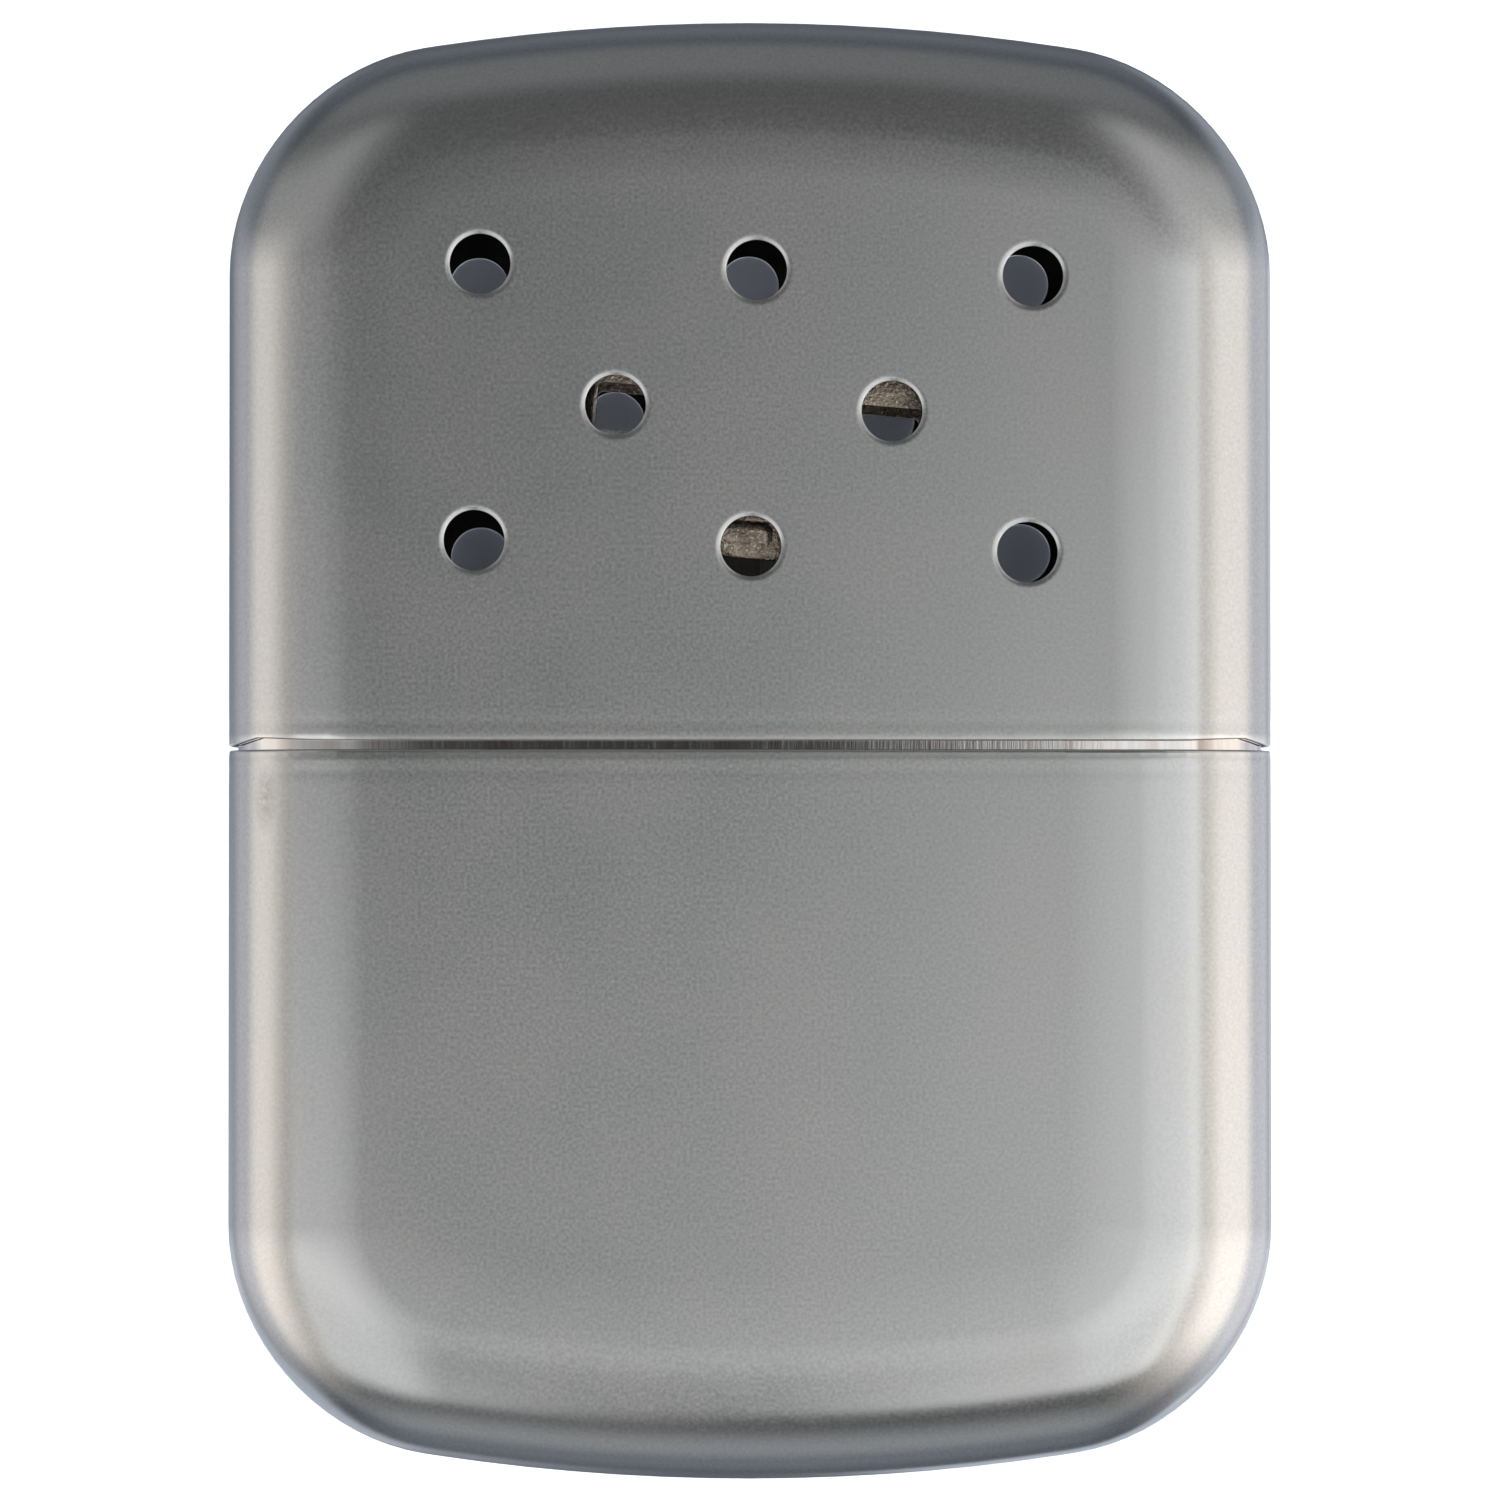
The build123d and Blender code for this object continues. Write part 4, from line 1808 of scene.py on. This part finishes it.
@dataclass
class Studio:
    """Pale floor, soft light and the camera."""

    distance: float = 562.5 * MM
    aside: tuple[float, float] = (-10.0 * MM, -12.0 * MM)
    lens: float = 200.6
    middle: float = 7.5 * MM
    dim: float = 0.10
    below: float = 0.60
    table_glow: float = 0.08
    floor_size: float = 6.0
    floor_drop: float = 0.05 * MM
    floor_paint: tuple[Colour, Colour] = ((0.66, 0.72, 0.84), (0.67, 0.73, 0.85))
    floor_lamp: float = 24.0
    side_lamp: float = 34.0
    below_tint: Colour = (0.93, 1.0, 1.14)
    boxes: tuple[SoftBox, ...] = (
        SoftBox("left_wall", (-1.5, -0.7), (-0.8, 0.1), 1.1, 0.2, WARM),
        SoftBox("left_strip", (-0.6, -0.08), (-0.7, 0.0), 0.7, 0.07),
        SoftBox("left_far", (-1.5, -0.25), (0.1, 0.6), 0.25, 0.1),
        SoftBox("right_strip", (0.055, 0.5), (-0.6, 0.1), 0.8, 0.015),
        SoftBox("right_wall", (0.55, 1.5), (-0.7, 0.1), 1.4, 0.2, WARM),
        SoftBox("right_far", (0.25, 1.5), (0.1, 0.6), 0.4, 0.1),
        SoftBox("front_strip", (-0.6, 0.6), (-0.2, -0.08), 0.25, 0.05),
        SoftBox("near_end", (-1.5, 1.5), (-1.5, -0.85), 0.25, 0.1, COOL),
        SoftBox("far_end", (-1.5, 1.5), (0.7, 1.5), 0.1, 0.1, COOL),
        SoftBox("camera_hood", (-0.05, 0.05), (-0.02, 0.06), -0.07, 0.01),
    )

    def floor(self) -> None:
        """A plain pale floor."""
        clear_selection()
        bpy.ops.mesh.primitive_plane_add(size=self.floor_size, location=(0, 0, -self.floor_drop))
        floor = bpy.context.view_layer.objects.active
        floor.name = "studio_floor"
        material, sheet, shader, where = start_material("floor_paint")
        shade = sheet.span(sheet.noise(where, 3.0, 2.0), 0.3, 0.7, 0.0, 1.0)
        first, second = self.floor_paint
        colour = sheet.blend(shade, (*first, 1), (*second, 1))
        sheet.tree.links.new(colour, shader.inputs["Base Color"])
        shader.inputs["Roughness"].default_value = 0.9
        shader.inputs["Specular IOR Level"].default_value = 0.0
        floor.data.materials.append(material)
        # The metal mirrors the room instead, as it would well clear of a table.
        floor.visible_glossy = False

    def panel(self, name: str, spot: Point, size: tuple[float, float], power: float) -> None:
        """A soft white lamp for the floor, which faces the object and which metal doesn't mirror.

        Args:
            name: The lamp's name.
            spot: Where it hangs.
            size: Its width and height.
            power: Its power in watts.
        """
        data = bpy.data.lights.new(name, "AREA")
        data.shape = "RECTANGLE"
        data.size, data.size_y = size
        data.energy = power
        lamp = bpy.data.objects.new(name, data)
        bpy.context.scene.collection.objects.link(lamp)
        lamp.location = spot
        aim = Vector((0, 0, self.middle)) - Vector(spot)
        lamp.rotation_euler = aim.to_track_quat("-Z", "Y").to_euler()
        lamp.visible_glossy = False

    def surroundings(self) -> None:
        """A dim room with its soft boxes, darker and cooler below the object."""
        world = bpy.data.worlds.new("room")
        bpy.context.scene.world = world
        world.use_nodes = True
        world.node_tree.nodes.clear()
        sheet = NodeSheet(world.node_tree)
        way = sheet.add("ShaderNodeTexCoord").outputs["Generated"]
        parts = sheet.add("ShaderNodeSeparateXYZ", {0: way})
        x, y, z = (parts.outputs[axis] for axis in "XYZ")
        lit: object = (*(self.dim * part for part in NEUTRAL), 1)
        for box in self.boxes:
            shape = sheet.sum("MULTIPLY", box.shape(sheet, x, y), box.level)
            lit = sheet.blend(1.0, lit, sheet.blend(1.0, (*box.tint, 1), shape, "MULTIPLY"), "ADD")
        low = sheet.span(z, -0.2, 0.1, 0.0, 1.0)
        under = tuple(self.below * part for part in self.below_tint)
        colour = sheet.blend(1.0, lit, sheet.blend(low, (*under, 1), (1, 1, 1, 1)), "MULTIPLY")
        glow = sheet.sum("MULTIPLY", sheet.span(z, -0.7, -0.2, 1.0, 0.0), self.table_glow)
        table = sheet.blend(1.0, (*self.below_tint, 1), glow, "MULTIPLY")
        colour = sheet.blend(1.0, colour, table, "ADD")
        back = sheet.add("ShaderNodeBackground", {"Color": colour, "Strength": 1.0})
        out = sheet.add("ShaderNodeOutputWorld")
        sheet.tree.links.new(back.outputs["Background"], out.inputs["Surface"])

    def camera(self) -> None:
        """The camera, nearly straight above the front face."""
        data = bpy.data.cameras.new("camera")
        data.sensor_width = 36.0
        data.lens = self.lens
        camera = bpy.data.objects.new("camera", data)
        bpy.context.scene.collection.objects.link(camera)
        spot = Vector((*self.aside, self.middle + self.distance))
        camera.location = spot
        back = (spot - Vector((0, 0, self.middle))).normalized()
        across = Vector((0, 1, 0)).cross(back).normalized()
        turn = Matrix((across, back.cross(across), back)).transposed()
        camera.rotation_euler = turn.to_euler()
        bpy.context.scene.camera = camera

    def make(self) -> None:
        """Builds all of the studio."""
        self.floor()
        self.surroundings()
        self.panel("floor_light", (0.0, 0.0, 1.2), (1.6, 1.6), self.floor_lamp)
        for side in (-1, 1):
            # From the side, so that it whitens the floor but doesn't fall through the vents.
            self.panel(f"side_light_{side}", (1.3 * side, 0.0, 0.9), (1.2, 1.6), self.side_lamp)
        self.camera()
        bpy.context.scene.view_settings.view_transform = "Standard"


def main() -> None:
    """Builds the hand warmer on its frame, then the studio."""
    logging.basicConfig(level=logging.INFO, format="%(name)s: %(message)s")
    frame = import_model()
    effects = Effects()
    casing = Casing(effects)
    for half in Half:
        casing.shell(half)
    guide = GuideCap(effects, casing)
    guide.make()
    burner = Burner(effects, guide)
    burner.make(frame["nodes"])
    Filling(effects, casing, burner.seat()).make()
    Studio().make()


if __name__ == "__main__":
    main()
